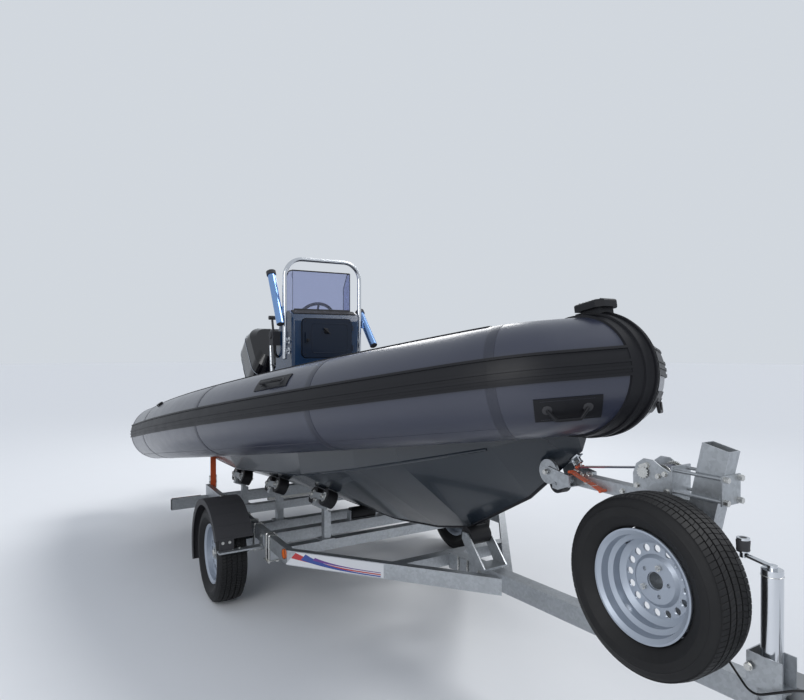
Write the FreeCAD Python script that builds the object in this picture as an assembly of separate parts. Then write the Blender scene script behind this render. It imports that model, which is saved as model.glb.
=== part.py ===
import FreeCAD, Part
import math
import os

V = FreeCAD.Vector

# Frame: +X forward to the tow coupling, +Y port, +Z up, ground at z = 0, axle line at x = 0.
# Millimetres.

# Road wheels and spare
tyre_radius = 292.0
tyre_width = 182.0
rim_radius = 182.5
rim_width = 132.0
rim_outer_y = 1000.0
wheel_bore = 30.0
vent_count = 16
hub_flange_radius = 62.0
spare_x = 2588.0
spare_rim_y = -263.0
spare_z = 816.0

# Trailer frame
frame_bottom = 402.0
member_height = 80.0
member_width = 40.0
member_wall = 4.0
side_y = 750.0
side_rear_x = -1120.0
bend_x = 720.0
vee_end_x = 1585.0
drawbar_width = 72.0
drawbar_height = 82.0
drawbar_rear_x = 1160.0
drawbar_front_x = 3040.0
drawbar_rise_deg = 2.5
cross_size = 60.0
light_beam_x = -1080.0
light_beam_half = 1040.0
axle_beam_x = 120.0
axle_beam_size = 70.0
axle_beam_z = 362.0

# Tubes: centre line in a plane that rises to the bow
tube_radius = 235.0
tube_pivot_x = -2497.0
tube_pivot_z = 731.0
sheer_deg = 9.1
tube_half_beam = 970.0
tube_start_x = -2060.0
tube_arc_x = -1500.0
arc1_radius = 9500.0
arc1_deg = 21.0
arc2_radius = 880.0
arc2_deg = 30.0
arc3_radius = 300.0
arc3_deg = 60.0
nose_reach = 450.0
leg_step = 10.0
seam1_deg = 16.0
seam2_deg = 28.0
cone_length = 330.0
cone_end_radius = 120.0

# Hull
transom_x = -1950.0
transom_thick = 50.0
transom_top = 948.0
deck_rise_deg = 3.6
deck_z_axle = 860.0
deck_thick = 12.0
coaming = 45.0

# Console
console_half = 280.0
console_wall = 12.0
hatch_half = 208.0
hatch_low = 1508.0
hatch_high = 1806.0

# Outboard
tilt_x = -2030.0
tilt_z = 990.0
rest_tilt_deg = 50.0
steer_offset = 112.0
prop_radius = 165.0

# Jockey wheel
jockey_x = 2890.0
jockey_y = -85.0
jockey_tube_radius = 30.0
jockey_leg_radius = 24.0
jockey_wheel_radius = 100.0
jockey_wheel_width = 62.0
jockey_trail = 45.0

os.makedirs("parts", exist_ok=True)


def write(name, shape):
    shape.exportStep("parts/" + name + ".step")


def box(x0, x1, y0, y1, z0, z1):
    return Part.makeBox(x1 - x0, y1 - y0, z1 - z0, V(x0, y0, z0))


def rod(p, q, radius):
    p, q = V(*p), V(*q)
    return Part.makeCylinder(radius, (q - p).Length, p, q - p)


def pipe(p, q, radius, bore):
    return rod(p, q, radius).cut(rod(p, q, bore))


def polygon(points):
    points = [V(*p) for p in points]
    return Part.Face(Part.makePolygon(points + [points[0]]))


def prism(points, move):
    return polygon(points).extrude(V(*move))


def prism_y(points, y0, y1):
    return prism([(x, y0, z) for x, z in points], (0, y1 - y0, 0))


def prism_x(points, x0, x1):
    return prism([(x0, y, z) for y, z in points], (x1 - x0, 0, 0))


def prism_z(points, z0, z1):
    return prism([(x, y, z0) for x, y in points], (0, 0, z1 - z0))


def mirrored(shape):
    return shape.mirror(V(0, 0, 0), V(0, 1, 0))


def both(shape):
    return [shape, mirrored(shape)]


def group(shapes):
    return Part.makeCompound(list(shapes))


def fuse(shapes):
    shapes = list(shapes)
    if len(shapes) == 1:
        return shapes[0]
    joined = shapes[0].fuse(shapes[1:])
    refined = joined.removeSplitter()
    return refined if refined.Solids else joined


def turn(shape, centre, axis, degrees):
    copy = shape.copy()
    copy.rotate(V(*centre), V(*axis), degrees)
    return copy


def shift(shape, x, y, z):
    copy = shape.copy()
    copy.translate(V(x, y, z))
    return copy


def lathe_y(points, x, z):
    return polygon([(x + r, y, z) for y, r in points]).revolve(V(x, 0, z), V(0, 1, 0), 360)


def beam(p, q, width, height, wall):
    p, q = V(*p), V(*q)
    along = (q - p).normalize()
    side = along.cross(V(0, 0, 1)).normalize()
    up = side.cross(along).normalize()

    def section(w, h):
        pts = [p + side * a * w / 2 + up * b * h / 2 for a, b in ((-1, -1), (1, -1), (1, 1), (-1, 1))]
        return polygon([tuple(c) for c in pts]).extrude(q - p)
    return section(width, height).cut(section(width - 2 * wall,
        height - 2 * wall)) if wall else section(width, height)


# Tubes, strakes and mats: everything that follows the tube line
def tilt(shape):
    copy = shape.copy()
    copy.rotate(V(tube_pivot_x, 0, 0), V(0, 1, 0), -sheer_deg)
    copy.translate(V(0, 0, tube_pivot_z))
    return copy


def arc_table():
    rows, cx, cy, last, at = [], tube_arc_x, tube_half_beam, None, 0.0
    for radius, end in ((arc1_radius, arc1_deg), (arc2_radius, arc2_deg), (arc3_radius, arc3_deg)):
        h = math.radians(at)
        step = -radius if last is None else last - radius
        cx, cy = cx + (step if last is not None else 0) * math.sin(h), cy + step * math.cos(h)
        rows.append(((cx, cy), radius, at, end))
        last, at = radius, end
    return rows


arcs = arc_table()


def tube_y(x):
    along = tube_pivot_x + (x - tube_pivot_x) / math.cos(math.radians(sheer_deg))
    if along <= tube_arc_x:
        return tube_half_beam
    for (cx, cy), radius, a0, a1 in arcs:
        s = (along - cx) / radius
        if s <= math.sin(math.radians(a1)) + 1e-9:
            return cy + radius * math.sqrt(1 - s * s)
    (cx, cy), radius, a0, a1 = arcs[-1]
    h = math.radians(a1)
    return max(cy + radius * math.cos(h) - (along - cx - radius * math.sin(h)) * math.tan(h), 0.0)


def tube_z(x):
    return tube_pivot_z + (x - tube_pivot_x) * math.tan(math.radians(sheer_deg))


# A profile holds (out, up) points round the tube centre; it is run along the port tube line between two
# headings
def along_arc(profile, d0, d1):
    pieces = []
    for (cx, cy), radius, a0, a1 in arcs:
        s, e = max(a0, d0), min(a1, d1)
        if e - s < 1e-6:
            continue
        face = profile(V(cx, cy + radius, 0))
        face.rotate(V(cx, cy, 0), V(0, 0, 1), -s)
        pieces.append(face.revolve(V(cx, cy, 0), V(0, 0, 1), -(e - s)))
    if d1 > arc3_deg:
        # the straight leg beyond the last arc, mitred at the middle; here a degree stands for leg_step
        # millimetres
        (cx, cy), radius, a0, a1 = arcs[-1]
        h = math.radians(a1)
        start = max(0.0, d0 - arc3_deg) * leg_step
        end = nose_reach if d1 >= 90 else (d1 - arc3_deg) * leg_step
        face = profile(V(cx, cy + radius, 0))
        face.rotate(V(cx, cy, 0), V(0, 0, 1), -a1)
        face.translate(V(start * math.cos(h), -start * math.sin(h), 0))
        leg = face.extrude(V((end - start) * math.cos(h), -(end - start) * math.sin(h), 0))
        pieces.append(leg.cut(box(0, 4000, -1500, 0, -1500, 1500)) if d1 >= 90 else leg)
    return pieces


def tube_point(d, a, r):
    # a point at heading d (beyond the last arc: along the leg), at angle a round the section, r from
    # the tube's centre
    row = [q for q in arcs if d <= q[3]]
    (cx, cy), radius, a0, a1 = row[0] if row else arcs[-1]
    h = math.radians(d if row else a1)
    reach = 0.0 if row else (d - a1) * leg_step
    out, up = r * math.cos(math.radians(a)), r * math.sin(math.radians(a))
    return (cx + (radius + out) * math.sin(h) + reach * math.cos(h),
        cy + (radius + out) * math.cos(h) - reach * math.sin(h), up)


def circle_profile(radius):
    def make(centre):
        return Part.Face(Part.Wire(Part.makeCircle(radius, centre, V(1, 0, 0))))
    return make


def band_profile(inner, outer, a0, a1):
    def make(centre):
        def at(r, a):
            return centre + V(0, r * math.cos(math.radians(a)), r * math.sin(math.radians(a)))
        mid = (a0 + a1) / 2
        edges = [Part.Arc(at(inner, a0), at(inner, mid), at(inner, a1)).toShape(),
                 Part.makeLine(at(inner, a1), at(outer, a1)),
                 Part.Arc(at(outer, a1), at(outer, mid), at(outer, a0)).toShape(),
                 Part.makeLine(at(outer, a0), at(inner, a0))]
        return Part.Face(Part.Wire(edges))
    return make


def straight(profile, x0, x1):
    return profile(V(x0, tube_half_beam, 0)).extrude(V(x1 - x0, 0, 0))


tube_skin = 5.0
tube_section = circle_profile(tube_radius)
air_section = circle_profile(tube_radius - tube_skin)
side_tube = fuse([straight(tube_section, tube_start_x, tube_arc_x)] + along_arc(tube_section, 0,
    seam1_deg))
side_tube = side_tube.cut(fuse([straight(air_section, tube_start_x + tube_skin,
    tube_arc_x)] + along_arc(air_section, 0, seam1_deg - 0.04)))
quarter_tube = fuse(along_arc(tube_section, seam1_deg, seam2_deg)).cut(fuse(along_arc(air_section,
    seam1_deg + 0.04, seam2_deg - 0.4)))
bow_half = along_arc(tube_section, seam2_deg, 90)
bow_air = along_arc(air_section, seam2_deg + 0.4, 90)
bow_tube = fuse(bow_half + [mirrored(s) for s in bow_half]).cut(fuse(bow_air
    + [mirrored(s) for s in bow_air]))
write("side_tubes", group(both(tilt(side_tube))))
write("quarter_tubes", group(both(tilt(quarter_tube))))
write("bow_tube", tilt(bow_tube))

cone_axis = tube_start_x - cone_length
cone_face = polygon([(tube_start_x, tube_half_beam, 0), (tube_start_x, tube_half_beam + tube_radius, 0),
                     (tube_start_x - 150, tube_half_beam + 214, 0), (cone_axis + 25,
                         tube_half_beam + cone_end_radius + 22, 0),
                     (cone_axis, tube_half_beam + cone_end_radius, 0), (cone_axis, tube_half_beam, 0)])
cone_air = polygon([(tube_start_x - tube_skin, tube_half_beam, 0),
    (tube_start_x - tube_skin, tube_half_beam + tube_radius - tube_skin - 1, 0),
                    (tube_start_x - 148, tube_half_beam + 208, 0), (cone_axis + 24,
                        tube_half_beam + cone_end_radius + 14, 0), (cone_axis + 6,
                        tube_half_beam + cone_end_radius - 5, 0), (cone_axis + 6, tube_half_beam, 0)])
tail_cone = cone_face.revolve(V(0, tube_half_beam, 0), V(1, 0, 0),
    360).cut(cone_air.revolve(V(0, tube_half_beam, 0), V(1, 0, 0), 360))
write("tail_cones", group(both(tilt(tail_cone))))

# Rubbing strake: a flat band with four ribs along it, ending at the nose patch
strake_table = ((-7.0, 20.0, 6.0), (17.5, 20.0, 11.0), (5.0, 7.5, 10.0), (-1.0, 1.5, 10.0),
    (-7.0, -4.5, 10.0))
patch_top_half, patch_low_half = 62.0, 88.0
patch_zone = prism_x([(patch_top_half, 320), (-patch_top_half, 320), (-patch_low_half, -320),
    (patch_low_half, -320)], 1900, 2700)
strake_parts = []
for a0, a1, height in strake_table:
    profile = band_profile(tube_radius, tube_radius + height, a0, a1)
    half = [straight(profile, tube_start_x, tube_arc_x)] + along_arc(profile, 0, 90)
    strake_parts += half + [mirrored(s) for s in half]
strake = fuse(strake_parts).cut(patch_zone)
write("rubbing_strake", tilt(strake))

# Nose patch: a thick moulded skin round the nose with ridges beside the middle line
patch_thick = 9.0
ridge_height = 17.0
patch_low_deg, patch_high_deg = -112.0, 104.0


def nose_skin(height, a0, a1):
    leg = along_arc(band_profile(tube_radius, tube_radius + height, a0, a1), 64, 90)
    return fuse(leg + [mirrored(s) for s in leg])


patch = nose_skin(patch_thick, patch_low_deg, patch_high_deg).common(patch_zone)
ridges = nose_skin(ridge_height, -100, 92)
ridge_bars = [box(1900, 2700, y - 5, y + 5, -400, 400) for y in (-34, 0, 34)]
nose_patch = tilt(fuse([patch] + [ridges.common(bar) for bar in ridge_bars]))

mat_profile = band_profile(tube_radius, tube_radius + 5, 76, 104)
mat = fuse([straight(mat_profile, tube_start_x + 350, tube_arc_x)] + along_arc(mat_profile, 0,
    seam2_deg - 1))
write("anti_slip_mats", group(both(tilt(mat))))


# Hull sections: station x, keel height, chine half breadth, chine height
hull_side_wall = 38.0
hull_floor_wall = 18.0
hull_roof_wall = 12.0
hull_table = (
    (transom_x, 430, 690, 655),
    (-480, 455, 705, 718),
    (600, 510, 640, 862),
    (1070, 580, 530, 965),
    (1350, 650, 440, 1035),
    (1800, 900, 235, 1150),
    (2110, 1160, 45, 1262),
)


def hull_section(x, keel, chine_y, chine_z):
    top_y, top_z = max(tube_y(x) - 30, 70), tube_z(x)
    pts = [(x, 0, keel), (x, chine_y, chine_z), (x, top_y, top_z), (x, -top_y, top_z),
        (x, -chine_y, chine_z)]
    return Part.makePolygon([V(*p) for p in pts + [pts[0]]])


hull_body = Part.makeLoft([hull_section(*row) for row in hull_table], True, True)
tube_cutters = []
cut_section = circle_profile(tube_radius + 0.15)
cut_half = [straight(cut_section, tube_start_x - 40, tube_arc_x)] + along_arc(cut_section, 0, 90)
tube_cutters = [tilt(s) for s in cut_half + [mirrored(s) for s in cut_half]]


def deck_place(shape):
    copy = shape.copy()
    copy.rotate(V(0, 0, 0), V(0, 1, 0), -deck_rise_deg)
    copy.translate(V(0, 0, deck_z_axle))
    return copy


def plan_outline(stations, gap):
    port = [(x, tube_y(x) - tube_radius - coaming - gap) for x in stations]
    return port + [(x, -y) for x, y in reversed(port)]


well_stations = (-1900, -1450, -480, 600, 1250)
well = deck_place(prism_z(plan_outline(well_stations, 0), 0, 900))
void_sections = []
for x in (-1915, -480, 600):
    row = max(r for r in hull_table if r[0] <= x)
    after = min(r for r in hull_table if r[0] > x)
    t = (x - row[0]) / (after[0] - row[0])
    keel, chine_y, chine_z = [row[i] + t * (after[i] - row[i]) for i in (1, 2, 3)]
    high = deck_z_axle + x * math.tan(math.radians(deck_rise_deg)) - hull_roof_wall
    reach = chine_y - hull_side_wall
    low = keel + hull_floor_wall
    side_low = low + (chine_z - keel) / chine_y * reach
    corners = [(0, low), (reach, side_low), (reach, high), (-reach, high), (-reach, side_low), (0, low)]
    void_sections.append(Part.makePolygon([V(x, y, z) for y, z in corners]))
hull_void = Part.makeLoft(void_sections, True, True)
hull = hull_body.cut(tube_cutters + [well, hull_void])
hull = max(hull.Solids, key=lambda s: s.Volume)
write("hull", hull)
nose_patch = nose_patch.cut(hull_body)
write("bow_wear_patch", max(nose_patch.Solids, key=lambda s: s.Volume))
write("deck_panel", deck_place(prism_z(plan_outline(well_stations, 2), 0, deck_thick)))

transom_outline = [(0, 446), (665, 662), (700, 790), (690, 862), (360, 880), (300, transom_top),
                   (-300, transom_top), (-360, 880), (-690, 862), (-700, 790), (-665, 662)]
transom = prism_x(transom_outline, transom_x - transom_thick, transom_x).cut(tube_cutters)
transom = max(transom.Solids, key=lambda s: s.Volume)
write("transom_board", transom)

# Bow step, carry handles, grab handles and stern fittings on the tubes
fit_lift = 0.2
step_base = prism_z([(2238, -42), (2330, -42), (2330, 42), (2238, 42)], 150, 258)
step_plate = prism_z([(2216, -54), (2330, -62), (2356, -36), (2356, 36), (2330, 62), (2216, 54)], 256,
    288)
step_plate = step_plate.makeFillet(9, [e for e in step_plate.Edges
    if e.BoundBox.ZLength < 1 and e.BoundBox.ZMin > 280])
nose_gap = [s for leg in both(fuse(along_arc(circle_profile(tube_radius + ridge_height + fit_lift), 50,
    90))) for s in leg.Solids]
bow_step = fuse([step_base, step_plate]).cut(nose_gap)
bow_step = max(bow_step.Solids, key=lambda s: s.Volume)


def strap_loop(stops, radius):
    pts = [tube_point(*q) for q in stops]
    parts = [rod(a, b, radius) for a, b in zip(pts, pts[1:])]
    return fuse(parts + [Part.makeSphere(radius, V(*q)) for q in pts[1:-1]])


def pad(d0, d1, a0, a1, height):
    return along_arc(band_profile(tube_radius + fit_lift, tube_radius + height, a0, a1), d0, d1)


# each row: heading range, angle range, height of the pad, then the loop's height (0 where the pad has
# none)
fitting_table = (
    (47.0, 74.0, -46.0, -22.0, 4.0, 30.0),
    (13.1, 14.9, 28.0, 47.0, 5.0, 34.0),
    (1.85, 2.25, 50.0, 59.0, 16.0, 0.0),
    (1.65, 2.05, 104.6, 113.0, 16.0, 0.0),
)
fittings = []
for d0, d1, a0, a1, height, loop_up in fitting_table:
    parts = pad(d0, d1, a0, a1, height)
    if loop_up:
        da, mid = (d1 - d0) * 0.2, (a0 + a1) / 2
        low = mid - 0.25 * (a1 - a0)
        parts.append(strap_loop([(d0 + da, mid + 1, tube_radius + 7.6),
            (d0 + 1.6 * da, low, tube_radius + loop_up),
                                 (d1 - 1.6 * da, low, tube_radius + loop_up), (d1 - da, mid + 1,
                                     tube_radius + 7.6)], 7))
    fittings.append(fuse(parts))
write("tube_fittings", group([tilt(s) for f in fittings for s in both(f)] + [tilt(bow_step)]))


def deck_z(x):
    return deck_z_axle + x * math.tan(math.radians(deck_rise_deg)) + deck_thick / math.cos(math.radians(deck_rise_deg))


def inset(points, d):
    # points run counter-clockwise; each edge moves inward by d
    n, out = len(points), []
    for i in range(n):
        (ax, ay), (bx, by), (cx, cy) = points[i - 1], points[i], points[(i + 1) % n]
        l1, l2 = math.hypot(bx - ax, by - ay), math.hypot(cx - bx, cy - by)
        n1, n2 = (-(by - ay) / l1, (bx - ax) / l1), (-(cy - by) / l2, (cx - bx) / l2)
        k = d / (1 + n1[0] * n2[0] + n1[1] * n2[1])
        out.append((bx + k * (n1[0] + n2[0]), by + k * (n1[1] + n2[1])))
    return out


def ribbon(path, half):
    # plan outline of a bar of the given half width along an open path, mitred at its bends
    left, right = [], []
    for i, (x, y) in enumerate(path):
        ax, ay = path[max(i - 1, 0)]
        cx, cy = path[min(i + 1, len(path) - 1)]
        n = []
        for (px, py), (qx, qy) in (((ax, ay), (x, y)), ((x, y), (cx, cy))):
            length = math.hypot(qx - px, qy - py)
            if length > 0:
                n.append((-(qy - py) / length, (qx - px) / length))
        m = n[0] if len(n) == 1 else n[0]
        q = n[-1]
        k = half * 2 / (1 + m[0] * q[0] + m[1] * q[1]) / 2
        mx, my = (m[0] + q[0]) * k, (m[1] + q[1]) * k
        left.append((x + mx, y + my))
        right.append((x - mx, y - my))
    return left + right[::-1]


# Console, standing on the deck panel
console_front = -470.0
console_back = -905.0
console_top = 1868.0
dash_top_x = -700.0
dash_low_x = -845.0
dash_low_z = 1600.0
console_profile = [(console_front, deck_z(console_front)), (console_front, 1790),
    (console_front - 35, 1850),
                   (console_front - 85, console_top), (dash_top_x, console_top), (dash_low_x,
                       dash_low_z),
                   (dash_low_x, 1430), (console_back, 1385), (console_back, deck_z(console_back))]
console = prism_y(console_profile, -console_half, console_half)
console = console.makeFillet(28, [e for e in console.Edges if abs(e.BoundBox.XMin - console_front) < 1
                                  and e.BoundBox.XLength < 1 and e.BoundBox.YLength < 1])
console = console.cut(prism_y(inset(console_profile, console_wall), -console_half + console_wall,
    console_half - console_wall))
hatch_gap = 1.0
hatch_thick = 14.0
mouth = 20.0
console = console.cut(box(console_front - 30, console_front + 5, -hatch_half + mouth,
    hatch_half - mouth, hatch_low + mouth, hatch_high - mouth))


def rounded_plate_x(y0, y1, z0, z1, x0, x1, radius):
    plate = box(x0, x1, y0, y1, z0, z1)
    return plate.makeFillet(radius, [e for e in plate.Edges if e.BoundBox.XLength > (x1 - x0) * 0.9])


hinge_y = hatch_half + 9.0
hinge_x = console_front + 9.0
hatch = rounded_plate_x(-hatch_half, hatch_half, hatch_low, hatch_high, console_front + hatch_gap,
    console_front + hatch_gap + hatch_thick, 34)
hatch_knuckles = [rod((hinge_x, hinge_y, z - 20), (hinge_x, hinge_y, z + 20), 6)
    for z in (hatch_low + 70, hatch_high - 70)]
hatch_straps = [box(console_front + hatch_gap + 4, console_front + hatch_gap + 10, hatch_half - 3,
    hinge_y, z - 18, z + 18) for z in (hatch_low + 70, hatch_high - 70)]
hatch_pull = box(console_front + hatch_gap + hatch_thick, console_front + hatch_gap + hatch_thick + 12,
    -hatch_half + 22, -hatch_half + 52, 1620, 1700)
hinge_bores = [rod((hinge_x, hinge_y, z - 30), (hinge_x, hinge_y, z + 30), 3)
    for z in (hatch_low + 70, hatch_high - 70)]
write("console_hatch", fuse([hatch, hatch_pull] + hatch_knuckles + hatch_straps).cut(hinge_bores))
hinge_posts = [rod((hinge_x, hinge_y, z + s * 23), (hinge_x, hinge_y, z + s * 34), 6)
               for z in (hatch_low + 70, hatch_high - 70) for s in (-1, 1)]
hinge_posts += [rod((hinge_x, hinge_y, z - 34), (hinge_x, hinge_y, z + 34), 2.95)
    for z in (hatch_low + 70, hatch_high - 70)]
hinge_feet = [box(console_front - 1, hinge_x + 2, hinge_y - 5, hinge_y + 5, z + min(s * 23, s * 34),
    z + max(s * 23, s * 34))
              for z in (hatch_low + 70, hatch_high - 70) for s in (-1, 1)]

# Helm: the shaft leaves the dash square to its face
dash_len = math.hypot(dash_top_x - dash_low_x, console_top - dash_low_z)
dash_up = ((dash_top_x - dash_low_x) / dash_len, (console_top - dash_low_z) / dash_len)
dash_out = (-dash_up[1], dash_up[0])
helm_foot = (dash_low_x + dash_up[0] * 165, dash_low_z + dash_up[1] * 165)
helm_y = 70.0
helm_reach = 118.0
helm_rim_radius = 165.0


def dash_point(out, up, y=helm_y):
    return (helm_foot[0] + dash_out[0] * out + dash_up[0] * up, y,
        helm_foot[1] + dash_out[1] * out + dash_up[1] * up)


console = fuse([console, rod(dash_point(-6, 0), dash_point(40, 0), 46)] + hinge_posts + hinge_feet)
write("console_shell", console)
helm_rim = Part.makeTorus(helm_rim_radius, 13, V(*dash_point(helm_reach, 0)),
    V(dash_out[0], 0, dash_out[1]))
helm_parts = [helm_rim, rod(dash_point(40.3, 0), dash_point(helm_reach + 6, 0), 17),
    rod(dash_point(helm_reach - 26, 0), dash_point(helm_reach + 10, 0), 38)]
for angle in (90, 210, 330):
    c, s = math.cos(math.radians(angle)) * helm_rim_radius, math.sin(math.radians(angle)) * helm_rim_radius
    helm_parts.append(rod(dash_point(helm_reach - 8, 0), dash_point(helm_reach, s, helm_y + c), 9))
write("helm_wheel", fuse(helm_parts))

control = box(-835, -740, -console_half - 62, -console_half, 1600, 1712)
control = fuse([control, rod((-788, -console_half - 40, 1690), (-820, -console_half - 40, 1815), 9),
    rod((-823, -console_half - 66, 1822), (-823, -console_half - 14, 1822), 16)])
write("throttle_box", control)

# Windscreen: front pane and two wings
screen_x = -566.0
screen_half = 252.0
screen_top = 2180.0
screen_path = [(screen_x - 158, screen_half + 12), (screen_x, screen_half - 8),
    (screen_x, -screen_half + 8), (screen_x - 158, -screen_half - 12)]
screen = prism_z(ribbon(screen_path, 3), console_top - 190, screen_top)
screen = screen.cut(prism_y([(screen_x - 60, screen_top + 1), (screen_x - 200, screen_top - 150),
    (screen_x - 200, screen_top + 1)], -400, 400))
screen = screen.cut(prism_y([(console_front, 1600), (console_front, console_top),
    (dash_top_x, console_top), (dash_low_x, dash_low_z), (dash_low_x, 1600)], -400, 400))
write("windscreen", screen)

# Stainless hoop round the screen, with its stand-offs
hoop_x = -540.0
hoop_y = 317.0
hoop_r = 16.0
hoop_bend = 140.0
hoop_top = 2264.0
hoop_low = 1500.0


def hoop(x, y, low, top, bend, r):
    parts = [rod((x, -y + bend, top), (x, y - bend, top), r)]
    for s in (-1, 1):
        parts.append(rod((x, s * y, low), (x, s * y, top - bend), r))
        ring = Part.Face(Part.Wire(Part.makeCircle(r, V(x, s * y, top - bend), V(0, 0, 1))))
        parts.append(ring.revolve(V(x, s * (y - bend), top - bend), V(1, 0, 0), s * 90))
    return parts


hoop_parts = hoop(hoop_x, hoop_y, hoop_low, hoop_top, hoop_bend, hoop_r)
for z in (1560, 1640):
    hoop_parts += [rod((hoop_x, s * console_half, z), (hoop_x, s * hoop_y, z), 10) for s in (-1, 1)]
    hoop_parts += [rod((hoop_x, s * console_half, z), (hoop_x, s * (console_half + 5), z), 26)
        for s in (-1, 1)]
write("screen_hoop", fuse(hoop_parts))

# Rod holders, open at the upper end
holder_radius = 30.0
holder_bore = 25.0
holder_y = hoop_y + hoop_r + holder_radius + 8
holder_table = ((-1, (-482, 1760), (-700, 2172)), (1, (-392, 1600), (-640, 1880)))
holder_parts = []
for side, low, high in holder_table:
    p, q = (low[0], side * holder_y, low[1]), (high[0], side * holder_y, high[1])
    length = math.hypot(q[0] - p[0], q[2] - p[2])
    d = ((q[0] - p[0]) / length, (q[2] - p[2]) / length)
    start = (p[0] + d[0] * 12, p[1], p[2] + d[1] * 12)
    tube = rod(p, q, holder_radius).fuse(rod((q[0] - d[0] * 26, q[1], q[2] - d[1] * 26), q,
        holder_radius + 5)).cut(rod(start, (q[0] + d[0], q[1], q[2] + d[1]), holder_bore))
    at = (hoop_x, p[2] + (hoop_x - p[0]) / d[0] * d[1])
    holder_parts.append(fuse([tube, box(hoop_x - 18, hoop_x + 18,
        min(side * (hoop_y + hoop_r), side * (holder_y - 27)),
        max(side * (hoop_y + hoop_r), side * (holder_y - 27)), at[1] - 26, at[1] + 26)]))
write("rod_holders", group(holder_parts))

# Helm seat: pod, cushions and rail
seat_front = -1030.0
seat_back = -1390.0
seat_y = 45.0
seat_half = 205.0
seat_top = 1290.0
pod = prism_y([(seat_front - 30, deck_z(seat_front - 30)), (seat_front, seat_top),
    (seat_back, seat_top), (seat_back + 20, deck_z(seat_back + 20))], -seat_half, seat_half)
pod = pod.makeFillet(30, [e for e in pod.Edges if e.BoundBox.ZLength > 300])
pod_wall = 12.0
pod = pod.cut(box(seat_back + 20 + pod_wall, seat_front - 30 - pod_wall, -seat_half + pod_wall,
    seat_half - pod_wall, deck_z(seat_back) - 40, seat_top - pod_wall))
write("seat_pod", shift(pod, 0, seat_y, 0))


def pillow(x0, x1, half, z0, z1, radius):
    block = box(x0, x1, -half, half, z0, z1)
    return block.makeFillet(radius, block.Edges)


rail_x = seat_back - 16.0
seat_cushion = pillow(seat_back + 62, seat_front + 12, seat_half - 5, seat_top, seat_top + 92, 26)
back_cushion = turn(pillow(seat_back - 2.8, seat_back + 72, seat_half - 12, seat_top + 104,
    seat_top + 470, 26), (rail_x, 0, seat_top - 30), (0, 1, 0), -6)
write("seat_cushions", shift(group([seat_cushion, back_cushion]), 0, seat_y, 0))
rail_parts = hoop(rail_x, seat_half - 40, seat_top - 180, seat_top + 400, 90, 13)
rail_parts += [rod((rail_x, s * (seat_half - 40), z), (seat_back + 12, s * (seat_half - 40), z), 9)
    for s in (-1, 1) for z in (seat_top - 120, seat_top - 30)]
rail = fuse(rail_parts)
rail = turn(rail, (rail_x, 0, seat_top - 30), (0, 1, 0), -6).cut(pod).cut(back_cushion)
rail = max(rail.Solids, key=lambda s: s.Volume)
write("seat_rail", shift(rail, 0, seat_y, 0))

# Outboard, drawn upright and then tipped about the tilt tube
pivot = (tilt_x, 0, tilt_z)
steer_x = tilt_x - steer_offset
board_aft = transom_x - transom_thick
clamp_profile = [(board_aft, 700), (board_aft, transom_top), (transom_x, transom_top),
    (transom_x, 868), (transom_x + 16, 868),
                 (transom_x + 16, 972), (transom_x - 20, 1000), (tilt_x - 18, 1014), (tilt_x - 26,
                     985), (tilt_x - 16, 700)]
clamp_plates = [prism_y(clamp_profile, s * 68 - 7, s * 68 + 7) for s in (-1, 1)]
lower_pin = (tilt_x - 2, 0, 722)
clamp_parts = clamp_plates + [rod((tilt_x, -84, tilt_z), (tilt_x, 84, tilt_z), 14),
    rod((lower_pin[0], -74, lower_pin[2]), (lower_pin[0], 74, lower_pin[2]), 8)]
write("clamp_bracket", fuse(clamp_parts))


def tip(shape):
    return turn(shape, pivot, (0, 1, 0), rest_tilt_deg)


def tipped(x, z, degrees=rest_tilt_deg):
    a = math.radians(degrees)
    dx, dz = x - tilt_x, z - tilt_z
    return (tilt_x + dx * math.cos(a) + dz * math.sin(a), 0,
        tilt_z - dx * math.sin(a) + dz * math.cos(a))


swivel_low = 770.0
swivel_high = 1010.0
eye_pin = (tilt_x - 48.5, tilt_z - 35.3)
eye_pin_radius = 5.5
eye_drift = 7.0
swivel = fuse([rod((tilt_x, -56, tilt_z), (tilt_x, 56, tilt_z), 27),
    rod((steer_x, 0, swivel_low), (steer_x, 0, swivel_high), 32)]
              + [prism_y([(tilt_x - 6, tilt_z - 22), (tilt_x, tilt_z + 20), (steer_x, swivel_high - 4),
                  (steer_x, swivel_low + 10), (steer_x + 30, swivel_low + 10)], s * 32 - 7, s * 32 + 7)
                  for s in (-1, 1)]
              + [rod((eye_pin[0], -38, eye_pin[1]), (eye_pin[0], 38, eye_pin[1]), eye_pin_radius)])
swivel = swivel.cut([rod((tilt_x, -60, tilt_z), (tilt_x, 60, tilt_z), 14.1),
    rod((steer_x, 0, 700), (steer_x, 0, 1100), 16.1)])
swivel = swivel.cut(box(tilt_x - 60, tilt_x + 40, -24, 24, tilt_z - 60,
    tilt_z + 60).cut(rod((tilt_x, -60, tilt_z), (tilt_x, 60, tilt_z), 27)))
write("swivel_bracket", tip(swivel))

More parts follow.
